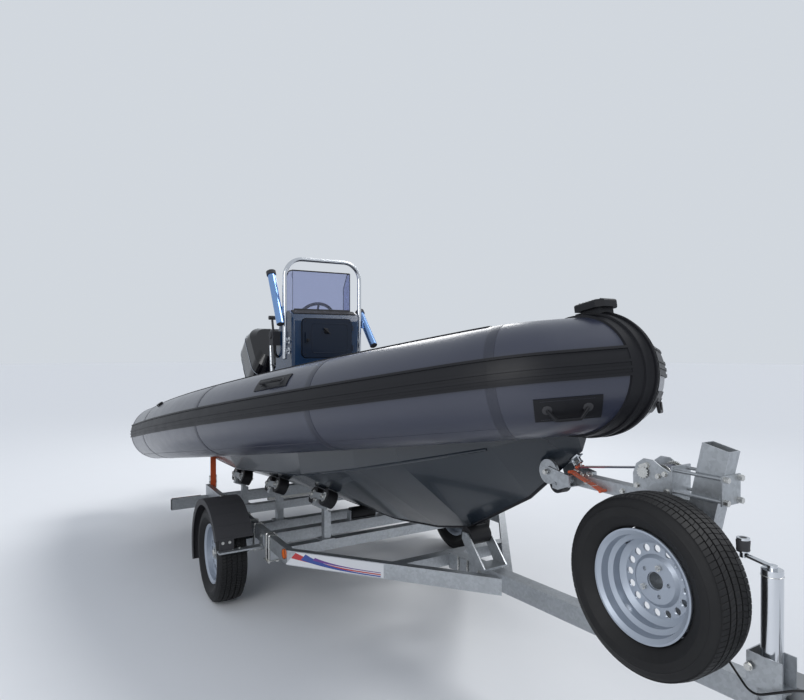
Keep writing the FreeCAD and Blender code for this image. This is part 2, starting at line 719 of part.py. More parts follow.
shaft_z = 245.0
leg_x = steer_x - 44.0
plate_z = 425.0
column = Part.makeLoft([Part.makePolygon([V(x, y, z) for x, y in outline + outline[:1]]) for z,
    outline in (
    (plate_z, [(leg_x, 0), (leg_x - 40, 26), (leg_x - 150, 26), (leg_x - 190, 0), (leg_x - 150, -26),
        (leg_x - 40, -26)]),
    (700, [(leg_x, 10), (leg_x - 40, 52), (leg_x - 120, 52), (leg_x - 160, 16), (leg_x - 160, -16),
        (leg_x, -10)][:3] + [(leg_x - 160, 0), (leg_x - 120, -52), (leg_x, -10)]),
    (1062, [(leg_x, 40), (leg_x - 30, 75), (leg_x - 150, 75), (leg_x - 185, 0), (leg_x - 150, -75),
        (leg_x, -40)]))], True, True)
vent_plate = prism_z([(leg_x + 30, 0), (leg_x - 10, 40), (leg_x - 130, 88), (leg_x - 290, 88),
    (leg_x - 290, -88), (leg_x - 130, -88), (leg_x - 10, -40)], plate_z - 8, plate_z)
strut = prism_z([(leg_x + 8, 0), (leg_x - 40, 17), (leg_x - 170, 17), (leg_x - 215, 0),
    (leg_x - 170, -17), (leg_x - 40, -17)], shaft_z, plate_z - 8)
prop_front = leg_x - 232.0
torpedo = polygon([(prop_front, 0, shaft_z), (prop_front, 0, shaft_z + 38),
    (prop_front + 60, 0, shaft_z + 46), (leg_x - 10, 0, shaft_z + 46), (leg_x + 50, 0, shaft_z + 30),
    (leg_x + 82, 0, shaft_z)]).revolve(V(0, 0, shaft_z), V(1, 0, 0), 360)
skeg = prism_y([(leg_x - 20, shaft_z - 30), (leg_x - 70, shaft_z - 120), (leg_x - 150, shaft_z - 120),
    (leg_x - 160, shaft_z - 30)], -6, 6)
cowl_centre = steer_x - 200.0
cowl_low = 1170.0


def cowl_ring(z, length, half, shift_x, corner):
    x0, x1 = cowl_centre + shift_x - length / 2, cowl_centre + shift_x + length / 2
    c = corner
    k = c * (1 - math.sqrt(0.5))
    pts = [(x1 - c, -half), (x1 - k, -half + k), (x1, -half + c), (x1, half - c), (x1 - k, half - k),
        (x1 - c, half),
           (x0 + c, half), (x0 + k, half - k), (x0, half - c), (x0, -half + c), (x0 + k,
               -half + k), (x0 + c, -half)]
    p = [V(x, y, z) for x, y in pts]
    edges = []
    for i in (0, 3, 6, 9):
        edges += [Part.Arc(p[i], p[i + 1], p[i + 2]).toShape(),
            Part.makeLine(p[i + 2], p[(i + 3) % 12])]
    return Part.Wire(edges)


def ring_loft(table, wall, lift):
    rows = [(z + lift, a - 2 * wall, b - wall, c, d - wall * 0.8) for z, a, b, c, d in table]
    return Part.makeLoft([cowl_ring(*row) for row in rows], True, True)


# lower cover round the leg's head, open at the top where the deck of the powerhead closes it
apron_table = ((950, 236, 84, -14, 58), (1050, 330, 128, -38, 84), (cowl_low - 20, 490, 160, 0, 105))
apron = ring_loft(apron_table, 0, 0).cut(ring_loft(apron_table, 8, 8))
pan = prism_z([(cowl_centre + 244, -90), (cowl_centre + 244, 90), (cowl_centre + 180, 158),
    (cowl_centre - 180, 158), (cowl_centre - 244, 90),
               (cowl_centre - 244, -90), (cowl_centre - 180, -158), (cowl_centre + 180,
                   -158)], cowl_low - 22, cowl_low)
neck = box(leg_x - 175, leg_x - 20, -60, 60, 1050, cowl_low - 10)
leg = fuse([column, vent_plate, strut, torpedo, skeg, apron, neck, pan,
    rod((steer_x, 0, 725), (steer_x, 0, 1066), 16),
            box(leg_x - 40, steer_x + 34, -36, 36, 726, 762), box(leg_x - 40, steer_x + 26, -40, 40,
                1022, 1064)])
write("outboard_leg", tip(leg))

cowl_table = ((cowl_low, 500, 166, 0, 108), (1225, 556, 188, 0, 128), (1420, 556, 188, -6, 128),
    (1520, 490, 166, -18, 122), (1578, 350, 116, -30, 96))
cowl_wall = 12.0
cowl_inner_table = cowl_table[:-1] + ((cowl_table[-1][0] - cowl_wall,) + cowl_table[-1][1:],)
write("engine_cowl", tip(ring_loft(cowl_table, 0, 0).cut(ring_loft(cowl_inner_table, cowl_wall, 0))))
write("powerhead", tip(box(cowl_centre - 150, cowl_centre + 150, -118, 118, cowl_low, cowl_low + 310)))

hub = fuse([rod((prop_front - 0.3, 0, shaft_z), (prop_front - 92, 0, shaft_z), 40),
    rod((prop_front - 90, 0, shaft_z), (prop_front - 112, 0, shaft_z), 18)])
prop_parts = [hub]
for k in range(3):
    blade = prism_z([(-30, 30), (-46, 80), (-40, 130), (-12, prop_radius - 6), (24, prop_radius - 2),
        (46, 140), (44, 90), (26, 30)], -3, 3)
    blade = turn(blade, (0, 0, 0), (0, 1, 0), 38)
    blade = turn(shift(blade, prop_front - 48, 0, shaft_z), (0, 0, shaft_z), (1, 0, 0), 120 * k)
    prop_parts.append(blade)
write("propeller", tip(fuse(prop_parts)))

eye = tipped(*eye_pin)
ram_len = math.hypot(eye[0] - lower_pin[0], eye[2] - lower_pin[2])
ram_dir = ((eye[0] - lower_pin[0]) / ram_len, (eye[2] - lower_pin[2]) / ram_len)


def ram_point(s):
    return (lower_pin[0] + ram_dir[0] * s, 0, lower_pin[2] + ram_dir[1] * s)


def eye_ring(p, r, bore, half):
    return rod((p[0], -half, p[2]), (p[0], half, p[2]), r).cut(rod((p[0], -half, p[2]),
        (p[0], half, p[2]), bore))


barrel_len = 188.0
barrel = fuse([eye_ring(lower_pin, 17, 8.1, 16), rod(ram_point(15), ram_point(barrel_len),
    21)]).cut(rod(ram_point(40), ram_point(barrel_len + 1),
    12.5)).cut(rod((lower_pin[0], -20, lower_pin[2]), (lower_pin[0], 20, lower_pin[2]), 8.1))
write("tilt_ram_barrel", barrel)
eye_bore = eye_pin_radius + eye_drift
rod_run = 190.0
ram_rod = fuse([eye_ring(eye, eye_bore + 6, eye_bore, 16),
    rod(ram_point(ram_len - rod_run), ram_point(ram_len - eye_bore - 2), 12.1)])
ram_rod = ram_rod.cut(rod((eye[0], -20, eye[2]), (eye[0], 20, eye[2]), eye_bore))
write("tilt_ram_rod", ram_rod)

# Trailer frame
member_path = [(side_rear_x, side_y), (bend_x, side_y), (vee_end_x + 60, 10)]
member_top = frame_bottom + member_height
drawbar_origin = (drawbar_rear_x + 50, frame_bottom + member_height / 2)


def on_drawbar(shape):
    return turn(shape, (drawbar_origin[0], 0, drawbar_origin[1]), (0, 1, 0), -drawbar_rise_deg)


def drawbar_local(x, z):
    a = math.radians(drawbar_rise_deg)
    dx, dz = x - drawbar_origin[0], z - drawbar_origin[1]
    return (drawbar_origin[0] + dx * math.cos(a) + dz * math.sin(a),
        drawbar_origin[1] - dx * math.sin(a) + dz * math.cos(a))


bar_top = drawbar_origin[1] + drawbar_height / 2
bar_low = drawbar_origin[1] - drawbar_height / 2
bar_half = drawbar_width / 2
bar_outer = on_drawbar(box(drawbar_origin[0], drawbar_front_x, -bar_half, bar_half, bar_low, bar_top))
write("drawbar", bar_outer.cut(on_drawbar(box(drawbar_origin[0] - 1, drawbar_front_x + 1,
    -bar_half + member_wall, bar_half - member_wall, bar_low + member_wall, bar_top - member_wall))))
member = prism_z(ribbon(member_path, member_width / 2), frame_bottom, member_top)
member = member.cut(prism_z(ribbon(member_path, member_width / 2 - member_wall),
    frame_bottom + member_wall, member_top - member_wall))
half_space = box(-3000, 4000, -500, bar_half, 0, 1000)
member = member.cut(half_space)
cross_z0 = frame_bottom - cross_size
cross_table = ((-630, side_y + member_width / 2, 0), (-118, side_y + member_width / 2, 0),
    (420, side_y + member_width / 2, 0), (1180, 390, 72))
crosses = []
for x, half, raised in cross_table:
    bar = box(x - cross_size / 2, x + cross_size / 2, -half, half, cross_z0, cross_z0 + cross_size)
    bar = bar.cut(box(x - cross_size / 2 + 3, x + cross_size / 2 - 3, -half - 1, half + 1,
        cross_z0 + 3, cross_z0 + cross_size - 3))
    crosses.append(max(shift(bar, 0, 0, raised).cut([member, mirrored(member), bar_outer]).Solids,
        key=lambda s: s.Volume))
write("cross_members", group(crosses))
beam_z0 = frame_bottom - 80.0
light_beam = box(light_beam_x - 20, light_beam_x + 20, -light_beam_half, light_beam_half, beam_z0,
    frame_bottom)
write("light_beam", light_beam.cut(box(light_beam_x - 17, light_beam_x + 17, -light_beam_half - 1,
    light_beam_half + 1, beam_z0 + 3, frame_bottom - 3)))
lamp = box(light_beam_x - 62, light_beam_x - 20, light_beam_half - 230, light_beam_half - 10,
    beam_z0 - 4, frame_bottom - 4)
write("number_plate", box(light_beam_x - 26, light_beam_x - 20, -260, 260, beam_z0 - 30, beam_z0 + 80))

# Axle, wheels, mudguards
arm_y0, arm_y1 = 784.0, 828.0
half_axle = [box(axle_beam_x - axle_beam_size / 2, axle_beam_x + axle_beam_size / 2, 0, arm_y0,
    frame_bottom - axle_beam_size, frame_bottom),
             prism_y([(axle_beam_x + 34, 334), (axle_beam_x + 34, 396), (axle_beam_x - 30, 396),
                 (-34, 322), (-34, 262), (6, 256)], arm_y0, arm_y1),
             rod((0, arm_y0, tyre_radius), (0, 966, tyre_radius),
                 wheel_bore - 0.05), rod((0, arm_y1 - 4, tyre_radius),
                 (0, rim_outer_y - 52.3, tyre_radius), hub_flange_radius),
             box(axle_beam_x - 50, axle_beam_x + 50, side_y - 26, side_y + 26,
                 frame_bottom - axle_beam_size, frame_bottom)]
axle_half = fuse(half_axle)
write("axle", fuse([axle_half, mirrored(axle_half)]))

rr, rw = rim_radius, rim_width
rim_profile = [(-rw, rr), (-rw + 6, rr), (-rw + 10, rr - 14.5), (-rw + 40, rr - 17.5),
    (-rw + 48, rr - 34.5), (-48, rr - 34.5), (-40, rr - 17.5),
               (-10, rr - 14.5), (-6, rr), (0, rr), (0, rr - 6.5), (-9, rr - 20.5), (-38,
                   rr - 24.5), (-46, rr - 40.5), (-rw + 46, rr - 40.5),
               (-rw + 38, rr - 24.5), (-rw + 9, rr - 20.5), (-rw, rr - 6.5)]
disc_inset = 44.0
disc_profile = [(-52, wheel_bore), (-disc_inset, wheel_bore), (-disc_inset, 70), (-34, 84), (-34, 124),
    (-46, 143), (-54, 143), (-42, 122), (-42, 86), (-52, 74)]
vent_circle = 106.0
vent_radius = 12.5
stud_circle = 50.0
stud_radius = 7.0
stud_count = 5


def rim_at(x, y, z, studs):
    rim = fuse([lathe_y([(y + a, r) for a, r in rim_profile], x, z),
        lathe_y([(y + a, r) for a, r in disc_profile], x, z)])
    holes = []
    for count, circle, radius in ((vent_count, vent_circle,
            vent_radius),) + (((stud_count, stud_circle, stud_radius),) if studs else ()):
        for k in range(count):
            a = 2 * math.pi * k / count
            hx, hz = x + circle * math.cos(a), z + circle * math.sin(a)
            holes.append(rod((hx, y - 70, hz), (hx, y - 20, hz), radius))
    return rim.cut(holes)


tyre_profile = [(-55, 168.6), (-59.6, 184), (-80, 200), (-91, 232), (-89, 258), (-78, 280), (-62, 289),
    (0, tyre_radius), (62, 289), (78, 280), (89, 258),
                (91, 232), (80, 200), (59.6, 184), (55, 168.6), (44, 168.6), (50, 190), (70, 212), (78,
                    240), (66, 270), (0, 278), (-66, 270), (-78, 240), (-70, 212), (-50, 190), (-44,
                    168.6)]


def tyre_at(x, y, z):
    return lathe_y([(y - 66 + a, r) for a, r in tyre_profile], x, z)


port_rim = rim_at(0, rim_outer_y, tyre_radius, False)
port_tyre = tyre_at(0, rim_outer_y, tyre_radius)
write("rim_port", port_rim)
write("rim_starboard", mirrored(port_rim))
write("tyre_port", port_tyre)
write("tyre_starboard", mirrored(port_tyre))
write("spare_rim", rim_at(spare_x, spare_rim_y + rim_width, spare_z, True))
write("spare_tyre", mirrored(tyre_at(spare_x, -spare_rim_y, spare_z)))

guard_radius = 338.0
guard_thick = 5.0
guard_skirt = 30.0
guard_y0, guard_y1 = 826.0, 1046.0
guard_front_deg = 29.0
guard_rear_deg = 201.0
stay_top = frame_bottom + 12.0


def guard_sector(r0, r1, y0, y1):
    face = polygon([(r0, y0, 0), (r1, y0, 0), (r1, y1, 0), (r0, y1, 0)])
    ring = face.revolve(V(0, 0, 0), V(0, -1, 0), guard_rear_deg - guard_front_deg)
    return shift(turn(ring, (0, 0, 0), (0, -1, 0), guard_front_deg), 0, 0, tyre_radius)


member_face = side_y + member_width / 2
front_stay_z = 384.0
lug = box(294, 299, 940, guard_y1 - 20, front_stay_z + 10, 468)
guard = fuse([guard_sector(guard_radius, guard_radius + guard_thick, guard_y0, guard_y1),
              guard_sector(guard_radius - guard_skirt, guard_radius + guard_thick,
                  guard_y1 - guard_thick, guard_y1), lug])
write("mudguards", group(both(guard)))
stays = [member, box(-340, -298, member_face - 1, guard_y0, frame_bottom + 1, stay_top),
    box(278, 330, member_face, guard_y1 - 12, front_stay_z, front_stay_z + 10),
         box(270, 338, member_face - 0.5, member_face + 8, front_stay_z - 6, frame_bottom + 62)]
write("side_members", group(both(fuse(stays))))

# Hull supports: each rocker carries two rollers against the hull's bottom panel
roller_radius = 52.0
roller_half = 34.0
roller_gap = 0.2
rocker_reach = 84.0
support_table = ((-630, 600), (-118, 512), (420, 402))


def panel(x, y):
    for (x0, k0, c0, z0), (x1, k1, c1, z1) in zip(hull_table, hull_table[1:]):
        if x <= x1:
            t = (x - x0) / (x1 - x0)
            keel, cy, cz = k0 + t * (k1 - k0), c0 + t * (c1 - c0), z0 + t * (z1 - z0)
            return keel + (cz - keel) * y / cy, math.atan2(cz - keel, cy), keel
    return 0.0, 0.0, 0.0


posts, rockers, rollers = [], [], []
post_half = 22.0
for x, y in support_table:
    z, deadrise, keel = panel(x, y)
    rise = min((panel(x + d, y)[0] - z) / d for d in (rocker_reach, -rocker_reach))
    rise_more = max((panel(x + d, y)[0] - z) / d for d in (rocker_reach, -rocker_reach))
    pitch = math.degrees(math.atan((rise + rise_more) / 2))

    def seat(shape):
        copy = turn(shape, (0, 0, 0), (1, 0, 0), math.degrees(deadrise))
        copy = turn(copy, (0, 0, 0), (0, 1, 0), -pitch)
        return shift(copy, x, y, z - roller_gap / math.cos(deadrise) - 1.2)
    rz = -roller_radius
    rollers += [seat(rod((s * rocker_reach, -roller_half, rz), (s * rocker_reach, roller_half, rz),
        roller_radius).cut(rod((s * rocker_reach, -roller_half, rz),
        (s * rocker_reach, roller_half, rz), 8.3))) for s in (-1, 1)]
    rocker = fuse([box(-104, 104, s * 40 - 4, s * 40 + 4, rz - 22, rz + 16) for s in (-1, 1)]
        + [box(-20, 20, -44, 44, rz - 64, rz - 2)]
                  + [rod((s * rocker_reach, -46, rz), (s * rocker_reach, 46, rz), 8) for s in (-1, 1)])
    rocker = seat(rocker)
    rockers.append(rocker)
    post = box(x - post_half, x + post_half, y - post_half, y + post_half, cross_z0 + cross_size,
        z - roller_radius - 12)
    block = seat(box(-60, 60, -80, 80, rz - 64, rz + 90))
    post = post.cut(block)
    post = max(post.Solids, key=lambda s: s.Volume)
    foot = box(x - 38, x + 38, y - 44, y + 44, cross_z0 + cross_size, cross_z0 + cross_size + 8)
    posts.append(fuse([post, foot]))
write("roller_posts", group([s for p in posts for s in both(p)]))

keel_table = ((axle_beam_x, 40.0, 90.0, frame_bottom), (1380, 46.0, 62.0, 0.0))
keel_rollers, keel_brackets = [], []
x, r, half, base = keel_table[0]
zk = panel(x, 0)[2]
ck = (x, zk - r - 0.6)
keel_rollers.append(pipe((ck[0], -half, ck[1]), (ck[0], half, ck[1]), r, 9.3))
keel_brackets.append(fuse([box(x - 26, x + 26, s * (half + 8) - 4, s * (half + 8) + 4, base,
    ck[1] + 22) for s in (-1, 1)] + [rod((ck[0], -half - 14, ck[1]), (ck[0], half + 14, ck[1]), 9)]))
x, r, half, base = keel_table[1]
zk = panel(x, 0)[2]
slope = math.atan2(panel(x + 20, 0)[2] - zk, 20)
ck = (x + (r + 0.6) * math.sin(slope), zk - (r + 0.6) * math.cos(slope))
keel_rollers.append(pipe((ck[0], -half, ck[1]), (ck[0], half, ck[1]), r, 9.3))
cl = drawbar_local(*ck)
arm = [(cl[0] - 20, cl[1] + 20), (cl[0] - 26, cl[1] - 16), (1462, bar_top + 8), (1462, bar_top),
    (1560, bar_top), (1560, bar_top + 8), (cl[0] + 22, cl[1] + 20)]
bracket = [on_drawbar(prism_y(arm, s * (half + 7) - 4, s * (half + 7) + 4))
    for s in (-1, 1)] + [on_drawbar(box(1462, 1560, -half - 11, half + 11, bar_top, bar_top + 8)),
    rod((ck[0], -half - 13, ck[1]), (ck[0], half + 13, ck[1]), 9)]
keel_brackets.append(fuse(bracket))

# Winch post, arm, winch and snubber
post_foot_x = 2540.0
post_head = (2702.0, 1262.0)
post_foot = on_drawbar(rod((post_foot_x, 0, bar_top), (post_foot_x, 0, bar_top + 1), 1)).BoundBox.ZMin
winch_post = beam((post_foot_x - 12, 0, post_foot - 60), (post_head[0], 0, post_head[1]), 62, 96,
    4).cut(bar_outer)
winch_post = max(winch_post.Solids, key=lambda s: s.Volume)
stem_z = panel(1960, 0)[2]
stem_slope = math.atan2(panel(1980, 0)[2] - stem_z, 20)
snub_r = 40.0
arm_z = 1042.0
cheek = (1990.0, 1062.0)
cheek_y0, cheek_y1 = 63.0, 77.0
cheek_r = 52.0
snub = (1960 + (snub_r + 0.5) * math.sin(stem_slope), stem_z - (snub_r + 0.5) * math.cos(stem_slope))
arm_start = (2078.0, 0, arm_z)
arm_beam = beam(arm_start, (2640, 0, arm_start[2]), 50, 50, 4)
post_axis = beam((post_foot_x - 12, 0, post_foot - 60), (post_head[0], 0, post_head[1]), 62, 96, 0)
arm_beam = arm_beam.cut(post_axis)
arm_beam = max(arm_beam.Solids, key=lambda s: s.Volume)
fork = [prism_y([(snub[0] - 18, snub[1] + 14), (snub[0] - 14, snub[1] - 20),
    (snub[0] + 16, snub[1] - 22), (2092, arm_z - 22), (2092, arm_z + 20), (2064, arm_z + 18)],
                s * 29 - 4, s * 29 + 4) for s in (-1, 1)]
fork += [prism_y([(cheek[0] - 22, cheek[1] + 12), (cheek[0] - 22, cheek[1] - 14),
    (cheek[0] - 6, cheek[1] - 24), (2112, arm_z - 24), (2112, arm_z + 24),
    (cheek[0] + 4, cheek[1] + 24)],
                 s * (cheek_y1 + 3) - 3, s * (cheek_y1 + 3) + 3) for s in (-1, 1)]
fork.append(box(2066, 2112, -cheek_y1, cheek_y1, arm_z - 24,
    arm_z + 24).cut(box(2112 - 46, 2113, -cheek_y1 + 4, -25, arm_z - 20, arm_z + 20)))
fork += [rod((cheek[0], s * cheek_y0, cheek[1]), (cheek[0], s * cheek_y1, cheek[1]), cheek_r)
    for s in (-1, 1)]
fork += [rod((cheek[0], s * cheek_y1, cheek[1]), (cheek[0], s * (cheek_y1 + 14), cheek[1]), 9)
    for s in (-1, 1)]
foot_plate = on_drawbar(box(post_foot_x - 78, post_foot_x + 82, -54, 54, bar_top,
    bar_top + 8)).cut(post_axis)
winch_parts = [winch_post, arm_beam, foot_plate, rod((snub[0], -36, snub[1]), (snub[0], 36, snub[1]),
    8)] + fork
keel_rollers.append(pipe((snub[0], -24, snub[1]), (snub[0], 24, snub[1]), snub_r, 8.3))
write("hull_rollers", group([s for p in rollers for s in both(p)] + keel_rollers))
write("roller_brackets", group([s for p in rockers for s in both(p)] + keel_brackets))

winch_x = 2478.0
winch_half = 52.0
arm_top_z = arm_start[2] + 25
drum_z = arm_top_z + 66
drum_x = winch_x + 26
side_plate = [(winch_x - 78, arm_top_z + 4), (winch_x - 80, drum_z - 6), (winch_x - 66, drum_z + 32),
    (winch_x - 36, drum_z + 54), (winch_x + 4, drum_z + 54),
              (winch_x + 36, drum_z + 36), (winch_x + 78, drum_z + 18), (winch_x + 78, arm_top_z + 4)]
clamp_x = post_foot_x + 192.0
post_bolts = [rod((winch_x + 78, s * 40, z), (clamp_x + 14, s * 40, z), 6) for s in (-1, 1)
    for z in (arm_top_z + 22, drum_z + 30)]
post_bolts.append(box(clamp_x, clamp_x + 6, -winch_half, winch_half, arm_top_z + 10,
    drum_z + 42).cut(post_axis))
winch = fuse([box(winch_x - 78, winch_x + 82, -winch_half, winch_half, arm_top_z, arm_top_z + 6)]
             + [prism_y(side_plate, s * (winch_half - 3) - 3, s * (winch_half - 3) + 3)
                 for s in (-1, 1)]
             + [rod((drum_x, -winch_half, drum_z), (drum_x, winch_half, drum_z), 24),
                 rod((winch_x - 34, -winch_half - 8, drum_z + 6),
                 (winch_x - 34, -winch_half + 6, drum_z + 6), 10),
                rod((winch_x - 34, winch_half - 6, drum_z + 6),
                    (winch_x - 34, winch_half + 26, drum_z + 6), 10),
                box(winch_x - 44, winch_x - 24, winch_half + 18, winch_half + 26, drum_z - 140,
                    drum_z + 16),
                rod((winch_x - 34, winch_half + 24, drum_z - 128),
                    (winch_x - 34, winch_half + 110, drum_z - 128), 15),
                box(winch_x + 76, winch_x + 82, -winch_half, winch_half, arm_top_z, drum_z + 44)])
winch = fuse([winch] + post_bolts)
write("winch", winch)

# Bow eye, straps
eye_x = 2068.0
eye_z = panel(eye_x, 0)[2]
eye_slope = math.atan2(panel(eye_x + 20, 0)[2] - eye_z, 20)
normal = (math.sin(eye_slope), -math.cos(eye_slope))
eye_centre = (eye_x + normal[0] * 16, 0, eye_z + normal[1] * 16)
eye_along = (math.cos(eye_slope), math.sin(eye_slope))
eye_plate = [(eye_x + a * eye_along[0] + b * normal[0], eye_z + a * eye_along[1] + b * normal[1])
    for a, b in ((-34, 0), (34, 0), (34, 6), (-34, 6))]
eye_legs = [rod((eye_x + a * eye_along[0], 0, eye_z + a * eye_along[1]),
    (eye_x + a * eye_along[0] + normal[0] * 30, 0, eye_z + a * eye_along[1] + normal[1] * 30), 6)
    for a in (-20, 20)]
eye_bar = rod(*[(eye_x + a * eye_along[0] + normal[0] * 30, 0,
    eye_z + a * eye_along[1] + normal[1] * 30) for a in (-26, 26)], 6)
bow_eye = fuse([prism_y(eye_plate, -16, 16), eye_bar] + eye_legs)
write("bow_eye", bow_eye)


def band(p, q, half_width, thick, y):
    length = math.hypot(q[0] - p[0], q[1] - p[1])
    n = (-(q[1] - p[1]) / length * thick / 2, (q[0] - p[0]) / length * thick / 2)
    return prism_y([(p[0] + n[0], p[1] + n[1]), (q[0] + n[0], q[1] + n[1]), (q[0] - n[0], q[1] - n[1]),
        (p[0] - n[0], p[1] - n[1])], y - half_width, y + half_width)


hook = (eye_x + normal[0] * 43, eye_z + normal[1] * 43)
strap = fuse([band((hook[0], hook[1]), (drum_x, drum_z + 24 + 2.6), 22, 3, 0),
    rod((hook[0], -22, hook[1]), (hook[0], 22, hook[1]), 6)])
tie_top = (hook[0] - 4, hook[1] - 16)
tie_low = (2250.0, arm_start[2] - 14)
front_tie = fuse([band(tie_top, tie_low, 16, 3, -42), rod((tie_low[0], -60, tie_low[1]),
    (tie_low[0], -25, tie_low[1]), 6), rod((tie_top[0], -60, tie_top[1]), (tie_top[0], -6, tie_top[1]),
    6)])
rear_tie_y = 722.0
rear_tie_top = panel(light_beam_x, 690)[0] + 30
rear_tie = box(light_beam_x - 1.5, light_beam_x + 1.5, rear_tie_y - 22, rear_tie_y + 22, frame_bottom,
    rear_tie_top)
rear_tie = rear_tie.cut(hull_body).cut(fuse(stays))
write("straps", group([fuse([strap, front_tie])] + both(rear_tie)))

# Spare wheel carrier
carrier_y = spare_rim_y + rim_width - disc_inset + 0.2
carrier = fuse([rod((spare_x, carrier_y, spare_z), (spare_x, carrier_y + 8, spare_z), 66),
    box(spare_x - 40, spare_x + 40, carrier_y + 4, -31, spare_z - 30, spare_z + 30).cut(post_axis)])
carrier = carrier.cut(rod((spare_x, carrier_y - 1, spare_z), (spare_x, carrier_y + 60, spare_z),
    wheel_bore - 2))
carrier_studs = [2 * math.pi * k / stud_count for k in (1, 3)]
carrier = fuse([carrier] + [rod((spare_x + stud_circle * math.cos(a), carrier_y - 22,
    spare_z + stud_circle * math.sin(a)),
                                (spare_x + stud_circle * math.cos(a), carrier_y + 4,
                                    spare_z + stud_circle * math.sin(a)), 6) for a in carrier_studs])
carrier = max(carrier.Solids, key=lambda s: s.Volume)
cord_start = (2604.0, -31.0, 700.0)
gland = rod((cord_start[0] - 3, cord_start[1] + 4, cord_start[2]),
    (cord_start[0] + 7.5, cord_start[1] - 10, cord_start[2] - 0.7), 8)
winch_parts.append(gland.cut(rod(cord_start, (cord_start[0] + 44, cord_start[1] - 59,
    cord_start[2] - 4), 3.6)))
cord_bore = rod((cord_start[0] - 4, cord_start[1] + 5, cord_start[2]),
    (cord_start[0] + 8, cord_start[1] - 10.7, cord_start[2] - 0.7), 3.8)
write("winch_post", fuse(winch_parts + [carrier]).cut(cord_bore))

# Jockey wheel
tube_low, tube_high = 404.0, 925.0
leg_low, leg_high = 232.0, 745.0
jx, jy = jockey_x + 20, jockey_y
outer = pipe((jx, jy, tube_low), (jx, jy, tube_high), jockey_tube_radius, jockey_leg_radius + 1)
cap = rod((jx, jy, tube_high), (jx, jy, tube_high + 14), jockey_tube_radius)
clamp_block = box(jx - 44, jx + 44, jy, -bar_half, 486, 556).cut(rod((jx, jy, 400), (jx, jy, 600),
    jockey_tube_radius))
collar = pipe((jx, jy, 480), (jx, jy, 552), 42, jockey_tube_radius)
clamp_block = max(clamp_block.Solids, key=lambda s: s.Volume)
clamp_low, clamp_high = 596.0, 692.0
sleeve = pipe((jx, jy, 550), (jx, jy, clamp_low + 4), 36, jockey_tube_radius)
cradle = box(jx - 50, jx + 52, jy - 46, jy + 35, clamp_low,
    clamp_high).cut(box(jx - 46, jx + 53, jy - 42, jy + 31, clamp_low + 4, clamp_high + 1))
cradle = cradle.cut(rod((jx, jy, 500), (jx, jy, 800), jockey_tube_radius))
cradle_bolt = rod((jx - 38.5, jy - 54, 650), (jx - 38.5, jy + 42, 650), 6)
write("jockey_clamp", fuse([clamp_block, collar, sleeve, cradle, cradle_bolt]))
crank = fuse([rod((jx, jy, tube_high + 14), (jx, jy, tube_high + 26), 14),
    rod((jx, jy, tube_high + 20), (jx - 88, jy, tube_high + 34), 7),
    rod((jx - 86, jy, tube_high + 24), (jx - 86, jy, tube_high + 44), 10),
    rod((jx - 86, jy, tube_high + 42), (jx - 86, jy, tube_high + 84), 19)])
write("jockey_tube", fuse([outer, cap, crank]))
inner_leg = pipe((jx, jy, leg_low), (jx, jy, leg_high), jockey_leg_radius, 20)
write("jockey_leg", fuse([inner_leg, rod((jx, jy, leg_low - 10), (jx, jy, leg_low), 30)]))
wx = jx - jockey_trail
fork_plates = [prism_y([(wx - 18, jockey_wheel_radius - 16), (wx + 18, jockey_wheel_radius - 16),
    (jx + 26, leg_low - 24), (jx - 26, leg_low - 24)], jy + s * 41 - 3, jy + s * 41 + 3)
    for s in (-1, 1)]
jockey_fork = fuse(fork_plates + [box(jx - 28, jx + 28, jy - 44, jy + 44, leg_low - 24,
    leg_low - 10.3), rod((wx, jy - 48, jockey_wheel_radius), (wx, jy + 48, jockey_wheel_radius), 8)])
write("jockey_fork", jockey_fork)
w = jockey_wheel_width / 2
wheel = lathe_y([(jy - w, 9), (jy - w, 40), (jy - w + 6, 60), (jy - w + 2, 78), (jy - w + 10, 95),
    (jy - 10, jockey_wheel_radius), (jy + 10, jockey_wheel_radius), (jy + w - 10, 95),
    (jy + w - 2, 78), (jy + w - 6, 60), (jy + w, 40), (jy + w, 9)], wx, jockey_wheel_radius)
write("jockey_wheel", wheel)

# Coupling
front = drawbar_front_x
axis_z = drawbar_origin[1] + 6
overrun = fuse([box(front - 150, front, -48, 48, bar_top, bar_top + 44),
    box(front, front + 96, -48, 48, bar_low + 6, bar_top + 44)]).cut(on_drawbar(box(0, 1, 0, 1, 0, 1)))
overrun = fuse([overrun, rod((front + 90, 0, axis_z + 16), (front + 190, 0, axis_z + 16), 24)])
bellows = polygon([(front + 98, 0, axis_z + 16 + 24.2)] + [(front + 98 + 10 * i, 0,
    axis_z + 16 + (44 if i % 2 else 34)) for i in range(0, 9)]
    + [(front + 178, 0, axis_z + 16 + 24.2)]).revolve(V(0, 0, axis_z + 16), V(1, 0, 0), 360)
write("coupling_bellows", on_drawbar(bellows))
ball_x = front + 300.0
ball_z = axis_z - 6
head = fuse([prism_y([(front + 180, axis_z - 20), (front + 180, axis_z + 50),
    (front + 250, axis_z + 60), (ball_x + 34, axis_z + 46), (ball_x + 44, axis_z),
    (ball_x + 30, ball_z - 14), (ball_x - 44, ball_z - 14)], -38, 38),
             prism_y([(front + 200, axis_z + 54), (front + 216, axis_z + 96),
                 (front + 330, axis_z + 104), (front + 330, axis_z + 90), (front + 240, axis_z + 78),
                 (front + 236, axis_z + 54)], -14, 14)])
head = head.cut(Part.makeSphere(25.5, V(ball_x, 0, ball_z))).cut(rod((ball_x, 0, ball_z - 30),
    (ball_x, 0, ball_z), 25.5)).cut(rod((front + 100, 0, axis_z + 16), (front + 190, 0, axis_z + 16),
    24))
write("coupling_head", on_drawbar(head))
